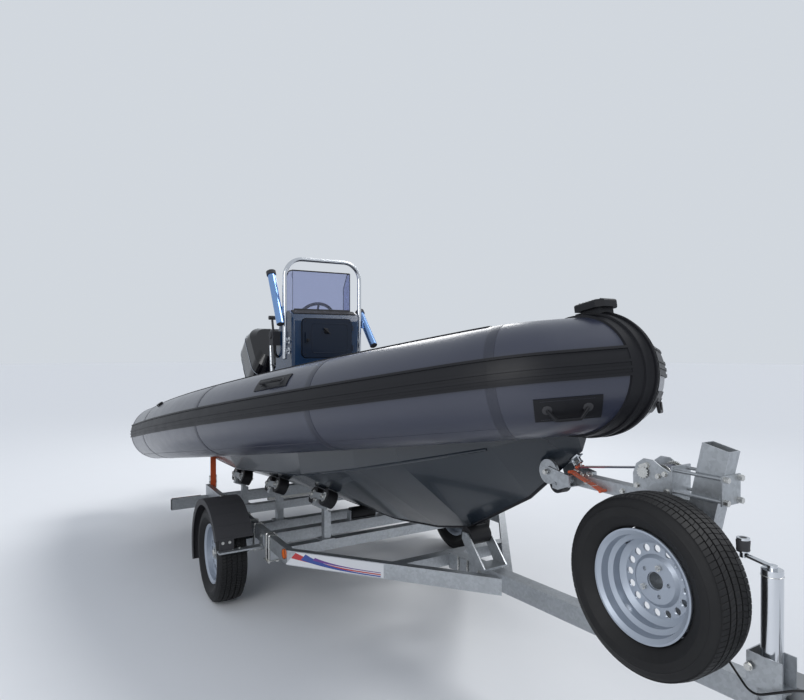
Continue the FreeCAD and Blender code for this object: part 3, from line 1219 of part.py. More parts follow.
brake = fuse([prism_y([(front - 20, bar_top + 44), (front + 20, bar_top + 44),
    (front + 40, bar_top + 62), (front + 240, bar_top + 92), (front + 240, bar_top + 104),
    (front + 20, bar_top + 84), (front - 20, bar_top + 64)], 30, 38),
              rod((front + 228, 34, bar_top + 97), (front + 326, 34, bar_top + 112), 14)])
plug_top = (3088.0, -72.0, 590.0)
plug_radius = 12.0
plug_axis = (0.18, 0.14, -0.974)
plug_end = tuple(c + 46 * d for c, d in zip(plug_top, plug_axis))
plug_ring = tuple(c + 34 * d for c, d in zip(plug_top, plug_axis))
holder = box(plug_ring[0] - 18, plug_ring[0] + 18, plug_ring[1] - 18, -46, plug_ring[2] - 3,
    plug_ring[2] + 3).cut(rod(plug_top, plug_end, plug_radius + 0.3))
write("overrun_body", fuse([on_drawbar(fuse([overrun, brake])), holder]))

# Lighting cable: from the post to its parked plug, as runs joined by tangent arcs
cord_radius = 3.5
cord_table = (cord_start, (2648, -90, 696), (2744, -97, 664), (2816, -104, 596), (2888, -150, 574),
    (2952, -148, 612), (3014, -126, 646), (3076, -82, 641), plug_top)


def cord(table, radius):
    pts, parts, bends = [V(*p) for p in table], [], []
    start = pts[0]
    for before, here, after in zip(pts, pts[1:], pts[2:]):
        ua, ub = here - before, after - here
        reach = 0.45 * min(ua.Length, ub.Length)
        ua.normalize()
        ub.normalize()
        angle = ua.getAngle(ub)
        bend = reach / math.tan(angle / 2)
        axis = ua.cross(ub).normalize()
        arc_from = here - ua * reach
        parts.append(Part.makeCylinder(radius, (arc_from - start).Length, start, ua))
        disc = Part.Face(Part.Wire(Part.makeCircle(radius, arc_from, ua)))
        parts.append(disc.revolve(arc_from + axis.cross(ua) * bend, axis, math.degrees(angle)))
        start = here + ub * reach
        bends.append(round(bend, 1))
    parts.append(Part.makeCylinder(radius, (pts[-1] - start).Length, start, pts[-1] - start))
    return fuse(parts), bends


cable, cable_bends = cord(cord_table, cord_radius)
print("lighting cable bend radii", cable_bends, "least", min(cable_bends), "diameter", 2 * cord_radius)
write("lighting_cable", cable)
plug_grip = tuple(c - 14 * d for c, d in zip(plug_top, plug_axis))
write("cable_plug", fuse([rod(plug_top, plug_end, plug_radius),
    rod(plug_grip, plug_top, 7)]).cut(cable))

reflector_x = bend_x - 32
reflector_z = frame_bottom + 50
reflector_y = side_y + member_width / 2
reflector = rod((reflector_x, reflector_y, reflector_z), (reflector_x, reflector_y + 6, reflector_z),
    28)
write("lamps_and_reflectors", group(both(lamp) + both(reflector)))
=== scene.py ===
import logging
from dataclasses import dataclass
from enum import Enum
from math import atan, atan2, cos, exp, pi, radians, sin, tan
from typing import Iterable, Sequence, Union

import bmesh
import bpy
from mathutils import Matrix, Vector


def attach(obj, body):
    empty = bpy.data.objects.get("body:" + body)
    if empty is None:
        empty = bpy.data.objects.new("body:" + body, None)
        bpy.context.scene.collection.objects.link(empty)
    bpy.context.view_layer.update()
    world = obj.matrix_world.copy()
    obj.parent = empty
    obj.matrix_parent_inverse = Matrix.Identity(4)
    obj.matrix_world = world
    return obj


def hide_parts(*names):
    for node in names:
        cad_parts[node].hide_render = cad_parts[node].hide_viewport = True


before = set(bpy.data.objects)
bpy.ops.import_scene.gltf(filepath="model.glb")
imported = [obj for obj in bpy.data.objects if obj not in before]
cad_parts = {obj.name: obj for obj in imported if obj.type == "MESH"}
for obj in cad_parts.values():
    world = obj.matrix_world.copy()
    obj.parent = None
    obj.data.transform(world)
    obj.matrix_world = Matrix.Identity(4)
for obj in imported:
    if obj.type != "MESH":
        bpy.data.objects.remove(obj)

LOG = logging.getLogger("rib_boat")
Point = Sequence[float]
Vert = bmesh.types.BMVert
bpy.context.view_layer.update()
ROOT = "trailer_and_boat"
TILT_PIVOT: Point = (-2.03, 0, 0.99)
TILT_REST = radians(50.0)
WHEEL_HEIGHT = 0.292
WHEEL_MIDDLE = 0.934
DRAWBAR_START = 1.21
DRAWBAR_SLOPE = tan(radians(2.5))


class Grain(Enum):
    """The small relief that a surface has."""

    FINE = "fine"
    COATED_FABRIC = "coated fabric"
    SPANGLE = "spangle"
    BRUSHED = "brushed"
    LEATHER = "leather"
    WEBBING = "webbing"
    CHEQUER = "chequer"
    PRISM = "prism"
    CAST = "cast"


class Wire:
    """One output socket; arithmetic on it adds Math nodes to its material."""

    def __init__(self, sheet: "Sheet", socket: bpy.types.NodeSocket) -> None:
        """Keeps the socket and the material's sheet."""
        self.sheet = sheet
        self.socket = socket

    def maths(self, operation: str, *values: Union["Wire", float]) -> "Wire":
        """Adds one Math node."""
        node = self.sheet.node("ShaderNodeMath", {"operation": operation}, dict(enumerate(values)))
        return Wire(self.sheet, node.outputs[0])

    def __add__(self, other: Union["Wire", float]) -> "Wire":
        """Sum."""
        return self.maths("ADD", self, other)

    def __radd__(self, other: float) -> "Wire":
        """Sum, with the number on the left."""
        return self.maths("ADD", other, self)

    def __sub__(self, other: Union["Wire", float]) -> "Wire":
        """Difference."""
        return self.maths("SUBTRACT", self, other)

    def __rsub__(self, other: float) -> "Wire":
        """Difference, with the number on the left."""
        return self.maths("SUBTRACT", other, self)

    def __mul__(self, other: Union["Wire", float]) -> "Wire":
        """Product."""
        return self.maths("MULTIPLY", self, other)

    def __rmul__(self, other: float) -> "Wire":
        """Product, with the number on the left."""
        return self.maths("MULTIPLY", other, self)


class Sheet:
    """The node tree of one material, with its shader."""

    def __init__(self, label: str) -> None:
        """Makes the material and finds its shader.

        Args:
            label: The material's name.
        """
        self.material = bpy.data.materials.new(label)
        self.material.use_nodes = True
        self.tree = self.material.node_tree
        self.shader = next(n for n in self.tree.nodes if n.type == "BSDF_PRINCIPLED")
        self.place = Wire(self, self.node("ShaderNodeTexCoord", {}, {}).outputs["Object"])

    def node(self, kind: str, settings: dict, sockets: dict) -> bpy.types.Node:
        """Adds a node.

        Args:
            kind: The node's type.
            settings: Its settings, set before its sockets.
            sockets: Values or wires, by socket name or number.

        Returns:
            The new node.
        """
        node = self.tree.nodes.new(kind)
        for name, value in settings.items():
            setattr(node, name, value)
        self.fill(node, sockets)
        return node

    def fill(self, node: bpy.types.Node, sockets: dict) -> None:
        """Sets or links a node's sockets.

        Args:
            node: The node.
            sockets: Values or wires, by socket name or number.
        """
        for name, value in sockets.items():
            if isinstance(value, Wire):
                self.tree.links.new(value.socket, node.inputs[name])
            else:
                node.inputs[name].default_value = value

    def noise(self, size: float, detail: float = 3.0, place: Wire | None = None) -> Wire:
        """A cloudy pattern from 0 to 1."""
        node = self.node("ShaderNodeTexNoise", {}, {"Vector": place or self.place, "Scale": 1 / size,
            "Detail": detail})
        return Wire(self, node.outputs["Fac"])

    def cells(self, size: float, feature: str = "F1") -> Wire:
        """A cell pattern."""
        node = self.node("ShaderNodeTexVoronoi", {"feature": feature},
            {"Vector": self.place, "Scale": 1 / size})
        return Wire(self, node.outputs["Distance"])

    def axis(self, name: str) -> Wire:
        """One coordinate of the object, in metres."""
        node = self.node("ShaderNodeSeparateXYZ", {}, {0: self.place})
        return Wire(self, node.outputs[name])

    def blend(self, share: Wire | float, first: Sequence[float] | Wire,
            second: Sequence[float] | Wire) -> Wire:
        """Mixes two colours."""
        node = self.node("ShaderNodeMix", {"data_type": "RGBA"}, {0: share, 6: first, 7: second})
        return Wire(self, node.outputs[2])


def shade(colour: Sequence[float], share: float) -> tuple[float, float, float, float]:
    """A lighter or darker version of a colour."""
    return tuple(min(1.0, c * share) for c in colour[:3]) + (1.0,)


@dataclass(frozen=True)
class Finish:
    """How one kind of surface looks, with linear colour and sizes in metres."""

    label: str
    colour: tuple[float, float, float]
    rough: float
    metal: float = 0.0
    coat: float = 0.0
    grain: Grain = Grain.FINE
    size: float = 0.0015
    depth: float = 0.00003
    tone: float = 0.1
    tone_size: float = 0.22
    rough_swing: float = 0.07
    clear: float = 0.0
    sheen: float = 0.0
    coat_rough: float = 0.08
    gloss: float = 0.5

    def relief(self, sheet: Sheet) -> Wire:
        """The height pattern of the surface.

        Args:
            sheet: The material's sheet.

        Returns:
            Height from 0 to about 1.
        """
        size = self.size
        if self.grain is Grain.COATED_FABRIC:
            x, y, z = [sheet.axis(a) * (2 * pi / size) for a in "XYZ"]
            weave = x.maths("SINE", x) + y.maths("SINE", y) + z.maths("SINE", z)
            return weave * 0.12 + sheet.noise(size * 4, 5) * 0.8
        if self.grain is Grain.SPANGLE:
            return sheet.noise(size * 0.5, 4) * 0.5 + sheet.cells(size) * 0.5
        if self.grain is Grain.BRUSHED:
            long = sheet.node("ShaderNodeMapping", {}, {"Vector": sheet.place, "Scale": (1.0, 1.0, 0.04)})
            return sheet.noise(size, 5, Wire(sheet, long.outputs[0]))
        if self.grain is Grain.LEATHER:
            pores = sheet.cells(size, feature="DISTANCE_TO_EDGE")
            return pores.maths("POWER", pores, 0.5) + sheet.noise(size * 3) * 0.4
        if self.grain is Grain.WEBBING:
            ribs = (sheet.axis("X") + sheet.axis("Z") + sheet.axis("Y") * 0.6) * (2 * pi / size)
            return ribs.maths("SINE", ribs) * 0.5 + 0.5
        if self.grain is Grain.CHEQUER:
            one = (sheet.axis("X") + sheet.axis("Y")) * (pi / size)
            two = (sheet.axis("X") - sheet.axis("Y")) * (pi / size)
            lozenge = one.maths("ABSOLUTE", one.maths("SINE", one)) * two.maths("ABSOLUTE",
                two.maths("SINE", two))
            return lozenge.maths("MINIMUM", lozenge * 2.0, 0.6) + sheet.noise(0.002) * 0.15
        if self.grain is Grain.PRISM:
            return sheet.cells(size)
        if self.grain is Grain.CAST:
            return sheet.noise(size, 6) + sheet.cells(size * 1.6) * 0.4
        return sheet.noise(size, 4)

    def tint(self, sheet: Sheet) -> Wire:
        """The colour, wandering a little over the surface.

        Args:
            sheet: The material's sheet.

        Returns:
            The colour.
        """
        clouds = sheet.noise(self.tone_size, 5)
        if self.grain is Grain.SPANGLE:
            flake = sheet.node("ShaderNodeTexVoronoi", {}, {"Vector": sheet.place, "Scale": 1 / self.size})
            grey = sheet.node("ShaderNodeSeparateXYZ", {}, {0: Wire(sheet, flake.outputs["Color"])})
            clouds = clouds * 0.55 + Wire(sheet, grey.outputs["X"]) * 0.45
        return sheet.blend(clouds, shade(self.colour, 1 - self.tone), shade(self.colour, 1 + self.tone))

    def build(self) -> bpy.types.Material:
        """Makes the material once and keeps it by its label.

        Returns:
            The material.
        """
        known = bpy.data.materials.get(self.label)
        if known:
            return known
        sheet = Sheet(self.label)
        height = self.relief(sheet)
        bump = sheet.node("ShaderNodeBump", {}, {"Strength": 0.8, "Distance": self.depth, "Height": height})
        wander = sheet.noise(self.tone_size * 0.4, 5)
        sheet.fill(sheet.shader, {
            "Base Color": self.tint(sheet),
            "Roughness": wander * (2 * self.rough_swing) + (self.rough - self.rough_swing),
            "Metallic": self.metal,
            "Coat Weight": self.coat,
            "Coat Roughness": self.coat_rough,
            "Specular IOR Level": self.gloss,
            "Sheen Weight": self.sheen,
            "Transmission Weight": self.clear,
            "IOR": 1.49,
            "Normal": Wire(sheet, bump.outputs[0]),
        })
        return sheet.material


TUBE_FABRIC = Finish("tube_fabric", (0.021, 0.025, 0.046), 0.34, coat=0.55, coat_rough=0.26,
    grain=Grain.COATED_FABRIC, size=0.0012, depth=0.00004, tone=0.1)
SEAM_FABRIC = Finish("seam_tape", (0.014, 0.017, 0.032), 0.4, coat=0.3, coat_rough=0.3,
    grain=Grain.COATED_FABRIC, size=0.0012, depth=0.00005)
MOULDED_BLACK = Finish("moulded_black_rubber", (0.006, 0.0062, 0.0085), 0.46, gloss=0.3, grain=Grain.CAST,
    size=0.0009, depth=0.00006)
MAT_BLACK = Finish("ribbed_mat", (0.01, 0.01, 0.012), 0.6, grain=Grain.CHEQUER, size=0.012, depth=0.001)
GELCOAT_GREY = Finish("hull_gelcoat", (0.015, 0.021, 0.029), 0.24, coat=0.4, tone=0.06, size=0.03,
    depth=0.0002)
DECK_GREY = Finish("deck_chequer", (0.24, 0.25, 0.27), 0.45, grain=Grain.CHEQUER, size=0.022, depth=0.0012)
# Console gelcoat: dark, with the blue of skylight falling on it in shade painted into its colour.
CONSOLE_WITH_PAINTED_SKYLIGHT = Finish("console_gelcoat", (0.0025, 0.026, 0.075), 0.26, coat=0.3, gloss=0.35, tone=0.08,
    size=0.02, depth=0.0001)
HATCH_NAVY = Finish("hatch_moulding", (0.002, 0.0085, 0.024), 0.36, coat=0.15, gloss=0.3, tone=0.12,
    grain=Grain.CAST, size=0.0014, depth=0.00006)
TINTED_SCREEN = Finish("tinted_screen", (0.42, 0.46, 0.66), 0.03, clear=0.92, tone=0.02, rough_swing=0.01,
    size=0.2, depth=0.00001)
STAINLESS = Finish("stainless_tube", (0.62, 0.64, 0.67), 0.18, metal=1.0, grain=Grain.BRUSHED, size=0.0012,
    depth=0.00002, tone=0.05, rough_swing=0.05)
# Rod holder steel: its blue colour is a painted reflection of blue surroundings.
STEEL_WITH_PAINTED_BLUE_REFLECTION = Finish("steel_with_painted_blue_reflection", (0.22, 0.37, 0.66), 0.27, metal=0.9, grain=Grain.BRUSHED,
    size=0.0012, depth=0.00002, tone=0.08, rough_swing=0.05)
GALVANISED = Finish("hot_dip_zinc", (0.4, 0.42, 0.44), 0.42, metal=0.85, grain=Grain.SPANGLE, size=0.011,
    depth=0.00012, tone=0.2, tone_size=0.12, rough_swing=0.1)
BRIGHT_ZINC = Finish("bright_zinc", (0.58, 0.58, 0.56), 0.28, metal=0.95, tone=0.1, tone_size=0.02,
    size=0.0006, depth=0.00002)
CAST_METAL = Finish("cast_metal", (0.26, 0.27, 0.28), 0.45, metal=0.7, grain=Grain.CAST, size=0.0012,
    depth=0.0001)
BLACK_PLASTIC = Finish("black_plastic", (0.007, 0.007, 0.008), 0.46, gloss=0.28, grain=Grain.CAST,
    size=0.0008, depth=0.00005)
COWL_GLOSS = Finish("cowl_gloss", (0.0035, 0.0035, 0.005), 0.14, coat=0.55, coat_rough=0.05, gloss=0.3,
    tone=0.05, rough_swing=0.03, size=0.03, depth=0.00004)
ENGINE_PAINT = Finish("engine_paint", (0.0065, 0.007, 0.0085), 0.28, coat=0.35, gloss=0.35, grain=Grain.CAST,
    size=0.002, depth=0.00004)
# Pale grey: the jockey wheel hub's own colour, and also the painted highlight lines on the cowl.
PALE_HUB_AND_PAINTED_HIGHLIGHT = Finish("pale_hub_and_painted_highlight", (0.42, 0.45, 0.5), 0.3, metal=0.4, coat=0.3, tone=0.05)
ENGINE_BLOCK = Finish("engine_block", (0.12, 0.12, 0.125), 0.5, metal=0.6, grain=Grain.CAST, size=0.002,
    depth=0.0002)
RIM_SILVER = Finish("rim_silver", (0.36, 0.4, 0.46), 0.4, metal=0.55, coat=0.15, coat_rough=0.2, tone=0.06,
    size=0.001, depth=0.00002)
TYRE_RUBBER = Finish("tyre_rubber", (0.0085, 0.0085, 0.0092), 0.6, gloss=0.3, grain=Grain.CAST, size=0.0014,
    depth=0.00008, tone=0.25, tone_size=0.08)
SEAT_VINYL = Finish("seat_vinyl", (0.018, 0.02, 0.024), 0.42, grain=Grain.LEATHER, size=0.0018,
    depth=0.00018, sheen=0.1)
PIPING_GREY = Finish("piping_grey", (0.2, 0.21, 0.23), 0.45, grain=Grain.LEATHER, size=0.0012, depth=0.00006)
ORANGE_WEBBING = Finish("orange_webbing", (0.62, 0.085, 0.012), 0.62, grain=Grain.WEBBING, size=0.003,
    depth=0.0004, sheen=0.3)
WINE_WEBBING = Finish("wine_webbing", (0.16, 0.012, 0.035), 0.6, grain=Grain.WEBBING, size=0.003,
    depth=0.0004, sheen=0.3)
NAVY_WEBBING = Finish("navy_webbing", (0.012, 0.018, 0.05), 0.6, grain=Grain.WEBBING, size=0.003,
    depth=0.0004, sheen=0.3)
THREAD_PALE = Finish("stitch_thread", (0.46, 0.44, 0.38), 0.7, tone=0.1, tone_size=0.01)
AMBER_LENS = Finish("amber_lens", (0.78, 0.15, 0.01), 0.12, coat=1.0, grain=Grain.PRISM, size=0.004,
    depth=0.0006)
RED_LENS = Finish("red_lens", (0.42, 0.008, 0.006), 0.12, coat=1.0, grain=Grain.PRISM, size=0.004,
    depth=0.0006)
WHITE_LENS = Finish("white_lens", (0.62, 0.64, 0.66), 0.12, coat=1.0, grain=Grain.PRISM, size=0.004,
    depth=0.0006)
PLATE_WHITE = Finish("plain_plate", (0.66, 0.66, 0.62), 0.35, coat=0.3, tone=0.03)
STRIPE_WHITE = Finish("stripe_white", (0.6, 0.61, 0.63), 0.3, coat=0.4, tone=0.05)
STRIPE_RED = Finish("stripe_red", (0.42, 0.018, 0.02), 0.3, coat=0.4, tone=0.05)
STRIPE_BLUE = Finish("stripe_blue", (0.02, 0.055, 0.26), 0.3, coat=0.4, tone=0.05)
STRIPE_PURPLE = Finish("stripe_purple", (0.11, 0.03, 0.22), 0.3, coat=0.4, tone=0.05)
ROLLER_RUBBER = Finish("roller_rubber", (0.0095, 0.0095, 0.011), 0.52, gloss=0.3, grain=Grain.CAST,
    size=0.0012, depth=0.0001)
CABLE_BLACK = Finish("cable_black", (0.007, 0.007, 0.008), 0.4, gloss=0.35)
DIAL_BLACK = Finish("dial_face", (0.006, 0.006, 0.008), 0.1, coat=1.0, tone=0.03)
DIAL_WHITE = Finish("dial_marks", (0.62, 0.63, 0.62), 0.4, tone=0.03)

CAD_FINISHES: dict[str, Finish] = {name: finish for finish, names in (
    (TUBE_FABRIC, "side_tubes quarter_tubes bow_tube tail_cones"),
    (MOULDED_BLACK, "rubbing_strake bow_wear_patch tube_fittings"),
    (MAT_BLACK, "anti_slip_mats"),
    (GELCOAT_GREY, "hull transom_board"),
    (DECK_GREY, "deck_panel"),
    (CONSOLE_WITH_PAINTED_SKYLIGHT, "console_shell seat_pod"),
    (HATCH_NAVY, "console_hatch"),
    (TINTED_SCREEN, "windscreen"),
    (STAINLESS, "screen_hoop seat_rail bow_eye jockey_tube tilt_ram_rod"),
    (STEEL_WITH_PAINTED_BLUE_REFLECTION, "rod_holders"),
    (ENGINE_PAINT, "tilt_ram_barrel outboard_leg swivel_bracket clamp_bracket propeller"),
    (BLACK_PLASTIC, "helm_wheel throttle_box mudguards coupling_bellows cable_plug"),
    (COWL_GLOSS, "engine_cowl"),
    (ENGINE_BLOCK, "powerhead"),
    (CAST_METAL, "overrun_body coupling_head"),
    (RIM_SILVER, "rim_port rim_starboard spare_rim"),
    (TYRE_RUBBER, "tyre_port tyre_starboard spare_tyre jockey_wheel"),
    (SEAT_VINYL, "seat_cushions"),
    (ORANGE_WEBBING, "straps"),
    (AMBER_LENS, "lamps_and_reflectors"),
    (PLATE_WHITE, "number_plate"),
    (ROLLER_RUBBER, "hull_rollers"),
    (CABLE_BLACK, "lighting_cable"),
) for name in names.split()}


def dress_cad_nodes() -> None:
    """Gives each CAD node its finish; what isn't named is hot-dipped zinc."""
    for name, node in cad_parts.items():
        finish = CAD_FINISHES.get(name, GALVANISED)
        node.data.materials.clear()
        node.data.materials.append(finish.build())
        LOG.info("finish %s on %s", finish.label, name)


def only_verts(geometry: Iterable) -> list[Vert]:
    """Picks the vertices out of some geometry."""
    return [g for g in geometry if isinstance(g, Vert)]


def about(pivot: Point, angle: float) -> Matrix:
    """A turn round a line across the boat, through a pivot, in radians."""
    return Matrix.Translation(pivot) @ Matrix.Rotation(angle, 4, "Y") @ Matrix.Translation(-Vector(pivot))


def in_scene(name: str, data: bpy.types.ID) -> bpy.types.Object:
    """Makes an object of some data and puts it in the scene.

    Args:
        name: The object's name.
        data: Its mesh, curve, light or camera.

    Returns:
        The object.
    """
    made = bpy.data.objects.new(name, data)
    bpy.context.scene.collection.objects.link(made)
    return made


class Shape:
    """A bmesh that grows from operators and ends as one named piece."""

    def __init__(self, name: str) -> None:
        """Starts empty."""
        self.name = name
        self.mesh = bmesh.new()

    def place(self, verts: Iterable[Vert], start: Point, along: Point) -> None:
        """Turns vertices from the Z axis to a direction and moves them."""
        turn = Vector(along).to_track_quat("Z", "Y").to_matrix().to_4x4()
        bmesh.ops.transform(self.mesh, matrix=Matrix.Translation(start) @ turn, verts=list(verts))

    def rod(self, start: Point, end: Point, radius: float, end_radius: float | None = None,
            segments: int = 24) -> list[Vert]:
        """Adds a round bar or a cone.

        Args:
            start: The middle of its first end.
            end: The middle of its other end.
            radius: The radius at the start.
            end_radius: The radius at the end, the same if left out.
            segments: How many sides it has.

        Returns:
            Its vertices.
        """
        run = Vector(end) - Vector(start)
        made = bmesh.ops.create_cone(self.mesh, cap_ends=True, segments=segments, radius1=radius,
            radius2=radius if end_radius is None else end_radius, depth=run.length)
        self.place(made["verts"], tuple((Vector(start) + Vector(end)) / 2), run)
        return made["verts"]

    def block(self, low: Point, high: Point, edge: float = 0.0) -> list[Vert]:
        """Adds a box with rounded edges.

        Args:
            low: Its lowest corner.
            high: Its highest corner.
            edge: The width of its rounded edges.

        Returns:
            Its vertices.
        """
        made = bmesh.ops.create_cube(self.mesh, size=1)["verts"]
        low, high = Vector(low), Vector(high)
        bmesh.ops.scale(self.mesh, vec=high - low, verts=made)
        bmesh.ops.translate(self.mesh, vec=(low + high) / 2, verts=made)
        return self.soften(made, edge) if edge else made

    def soften(self, verts: Iterable[Vert], edge: float, segments: int = 2) -> list[Vert]:
        """Rounds every edge among some vertices.

        Args:
            verts: The vertices.
            edge: The width of the rounding.
            segments: How many steps it has.

        Returns:
            The vertices that are there now.
        """
        edges = {e for v in verts for e in v.link_edges}
        made = bmesh.ops.bevel(self.mesh, geom=list(edges), offset=edge, offset_type="OFFSET",
            affect="EDGES", segments=segments, profile=0.5, material=-1)
        return list({v for f in made["faces"] for v in f.verts})

    def turned(self, profile: Sequence[tuple[float, float]], start: Point, along: Point, steps: int = 48,
            closed: bool = False) -> list[Vert]:
        """Spins a profile round an axis.

        Args:
            profile: Pairs of height on the axis and radius.
            start: Where the axis starts.
            along: Where the axis points.
            steps: How many sides it has.
            closed: Whether the profile's last point joins its first.

        Returns:
            The new vertices.
        """
        verts = [self.mesh.verts.new((radius, 0, height)) for height, radius in profile]
        pairs = list(zip(verts, verts[1:])) + ([(verts[-1], verts[0])] if closed else [])
        edges = [self.mesh.edges.new(pair) for pair in pairs]
        before = set(self.mesh.verts) - set(verts)
        bmesh.ops.spin(self.mesh, geom=verts + edges, cent=(0, 0, 0), axis=(0, 0, 1), angle=2 * pi,
            steps=steps, use_merge=True)
        made = [v for v in self.mesh.verts if v not in before]
        bmesh.ops.remove_doubles(self.mesh, verts=made, dist=1e-6)
        made = [v for v in self.mesh.verts if v not in before]
        self.place(made, start, along)
        return made

    def hose(self, route: Sequence[Point], radius: float, segments: int = 10, loop: bool = False) -> None:
        """Runs a round section along a route.

        Args:
            route: The points on its middle line.
            radius: Its radius.
            segments: How many sides it has.
            loop: Whether its last point joins its first.
        """
        points = [Vector(p) for p in route]
        count = len(points)
        rings = []
        turn = Matrix.Identity(3)
        heading = Vector((0, 0, 1))
        for i, point in enumerate(points):
            before = points[i - 1] if i or loop else point
            after = points[(i + 1) % count] if i < count - 1 or loop else point
            legs = [leg.normalized() for leg in (point - before, after - point) if leg.length > 1e-9]
            aim = sum(legs, Vector()).normalized()
            turn = heading.rotation_difference(aim).to_matrix() @ turn
            heading = aim
            ring = bmesh.ops.create_circle(self.mesh, cap_ends=False, segments=segments,
                radius=radius)["verts"]
            bmesh.ops.transform(self.mesh, matrix=Matrix.Translation(point) @ turn.to_4x4(), verts=ring)
            rings.append(list({e for v in ring for e in v.link_edges}))
        pairs = list(zip(rings, rings[1:])) + ([(rings[-1], rings[0])] if loop else [])
        for first, second in pairs:
            bmesh.ops.bridge_loops(self.mesh, edges=first + second)
        if not loop:
            for end in (rings[0], rings[-1]):
                bmesh.ops.contextual_create(self.mesh, geom=end)

    def slab(self, outline: Sequence[tuple[float, float]], axis: str, low: float, high: float) -> list[Vert]:
        """Extrudes a flat outline along an axis.

        Args:
            outline: Its corners, in the two other axes in X, Y, Z order.
            axis: X, Y or Z.
            low: Where it starts on the axis.
            high: Where it ends.

        Returns:
            Its vertices.
        """
        at = "XYZ".index(axis)
        corners = []
        for pair in outline:
            place = list(pair)
            place.insert(at, low)
            corners.append(self.mesh.verts.new(place))
        face = self.mesh.faces.new(corners)
        new = bmesh.ops.extrude_face_region(self.mesh, geom=[face])["geom"]
        lifted = only_verts(new)
        move = [0, 0, 0]
        move[at] = high - low
        bmesh.ops.translate(self.mesh, vec=move, verts=lifted)
        return corners + lifted

    def ring(self, centre: Point, along: Point, radius: float, thick: float, steps: int = 32,
            sides: int = 10) -> None:
        """Adds a round ring."""
        profile = [(thick * sin(2 * pi * k / sides), radius + thick * cos(2 * pi * k / sides))
            for k in range(sides)]
        self.turned(profile, centre, along, steps, closed=True)

    def dome(self, seat: Point, along: Point, radius: float, height: float, steps: int = 24) -> None:
        """Adds a low round cap."""
        curve = [(height * sin(pi / 2 * k / 5), radius * cos(pi / 2 * k / 5)) for k in range(5)]
        self.turned([(0, 0)] + curve + [(height, 0)], seat, along, steps)

    def gear(self, centre: Point, along: Point, radius: float, depth: float, thick: float,
            teeth: int) -> None:
        """Adds a toothed wheel.

        Args:
            centre: The middle of its near face.
            along: Its axis.
            radius: Its outer radius.
            depth: The depth of its teeth.
            thick: Its thickness.
            teeth: How many teeth it has.
        """
        rim = bmesh.ops.create_circle(self.mesh, cap_ends=True, segments=teeth * 4, radius=radius)["verts"]
        for index, vert in enumerate(rim):
            if index % 4 in (0, 1):
                vert.co *= (radius - depth) / radius
        face = next(f for f in rim[0].link_faces)
        new = bmesh.ops.extrude_face_region(self.mesh, geom=[face])["geom"]
        lifted = only_verts(new)
        bmesh.ops.translate(self.mesh, vec=(0, 0, thick), verts=lifted)
        self.place(rim + lifted, centre, along)

    def both_sides(self) -> None:
        """Repeats everything so far on the other side of the middle plane."""
        copy = bmesh.ops.duplicate(self.mesh,
            geom=self.mesh.verts[:] + self.mesh.edges[:] + self.mesh.faces[:])["geom"]
        bmesh.ops.scale(self.mesh, vec=(1, -1, 1), verts=only_verts(copy))
        bmesh.ops.reverse_faces(self.mesh, faces=[g for g in copy if isinstance(g, bmesh.types.BMFace)])

    def move(self, matrix: Matrix) -> None:
        """Moves everything so far."""
        bmesh.ops.transform(self.mesh, matrix=matrix, verts=self.mesh.verts[:])

    def bolt(self, seat: Point, along: Point, size: float = 0.01) -> None:
        """Adds a hexagon head on its washer.

        Args:
            seat: The middle of the washer's lower face.
            along: Where the head points.
            size: The thread's diameter.
        """
        way = Vector(along).normalized()
        seat = Vector(seat)
        self.rod(seat, seat + way * 0.0016, size * 1.05, segments=16)
        self.rod(seat + way * 0.0016, seat + way * (0.0016 + size * 0.65), size * 0.92, size * 0.88,
            segments=6)

    def piece(self, finish: Finish, body: str = ROOT, smooth: float = 32.0,
            stands_for: Sequence[str] = ()) -> bpy.types.Object:
        """Closes the mesh, dresses it and lets it ride.

        Args:
            finish: Its finish.
            body: The body that it moves with, the main one if left out.
            smooth: The angle in degrees under which an edge is smooth.
            stands_for: The CAD nodes that it stands for.

        Returns:
            The piece.
        """
        bmesh.ops.recalc_face_normals(self.mesh, faces=self.mesh.faces[:])
        for face in self.mesh.faces:
            face.smooth = True
        for edge in self.mesh.edges:
            if len(edge.link_faces) == 2:
                edge.smooth = edge.calc_face_angle(0) < radians(smooth)
        data = bpy.data.meshes.new(self.name)
        self.mesh.to_mesh(data)
        self.mesh.free()
        made = in_scene(self.name, data)
        data.materials.append(finish.build())
        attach(made, body)
        if stands_for:
            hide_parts(*stands_for)
        LOG.info("piece %s on %s: %d faces", self.name, body, len(data.polygons))
        return made


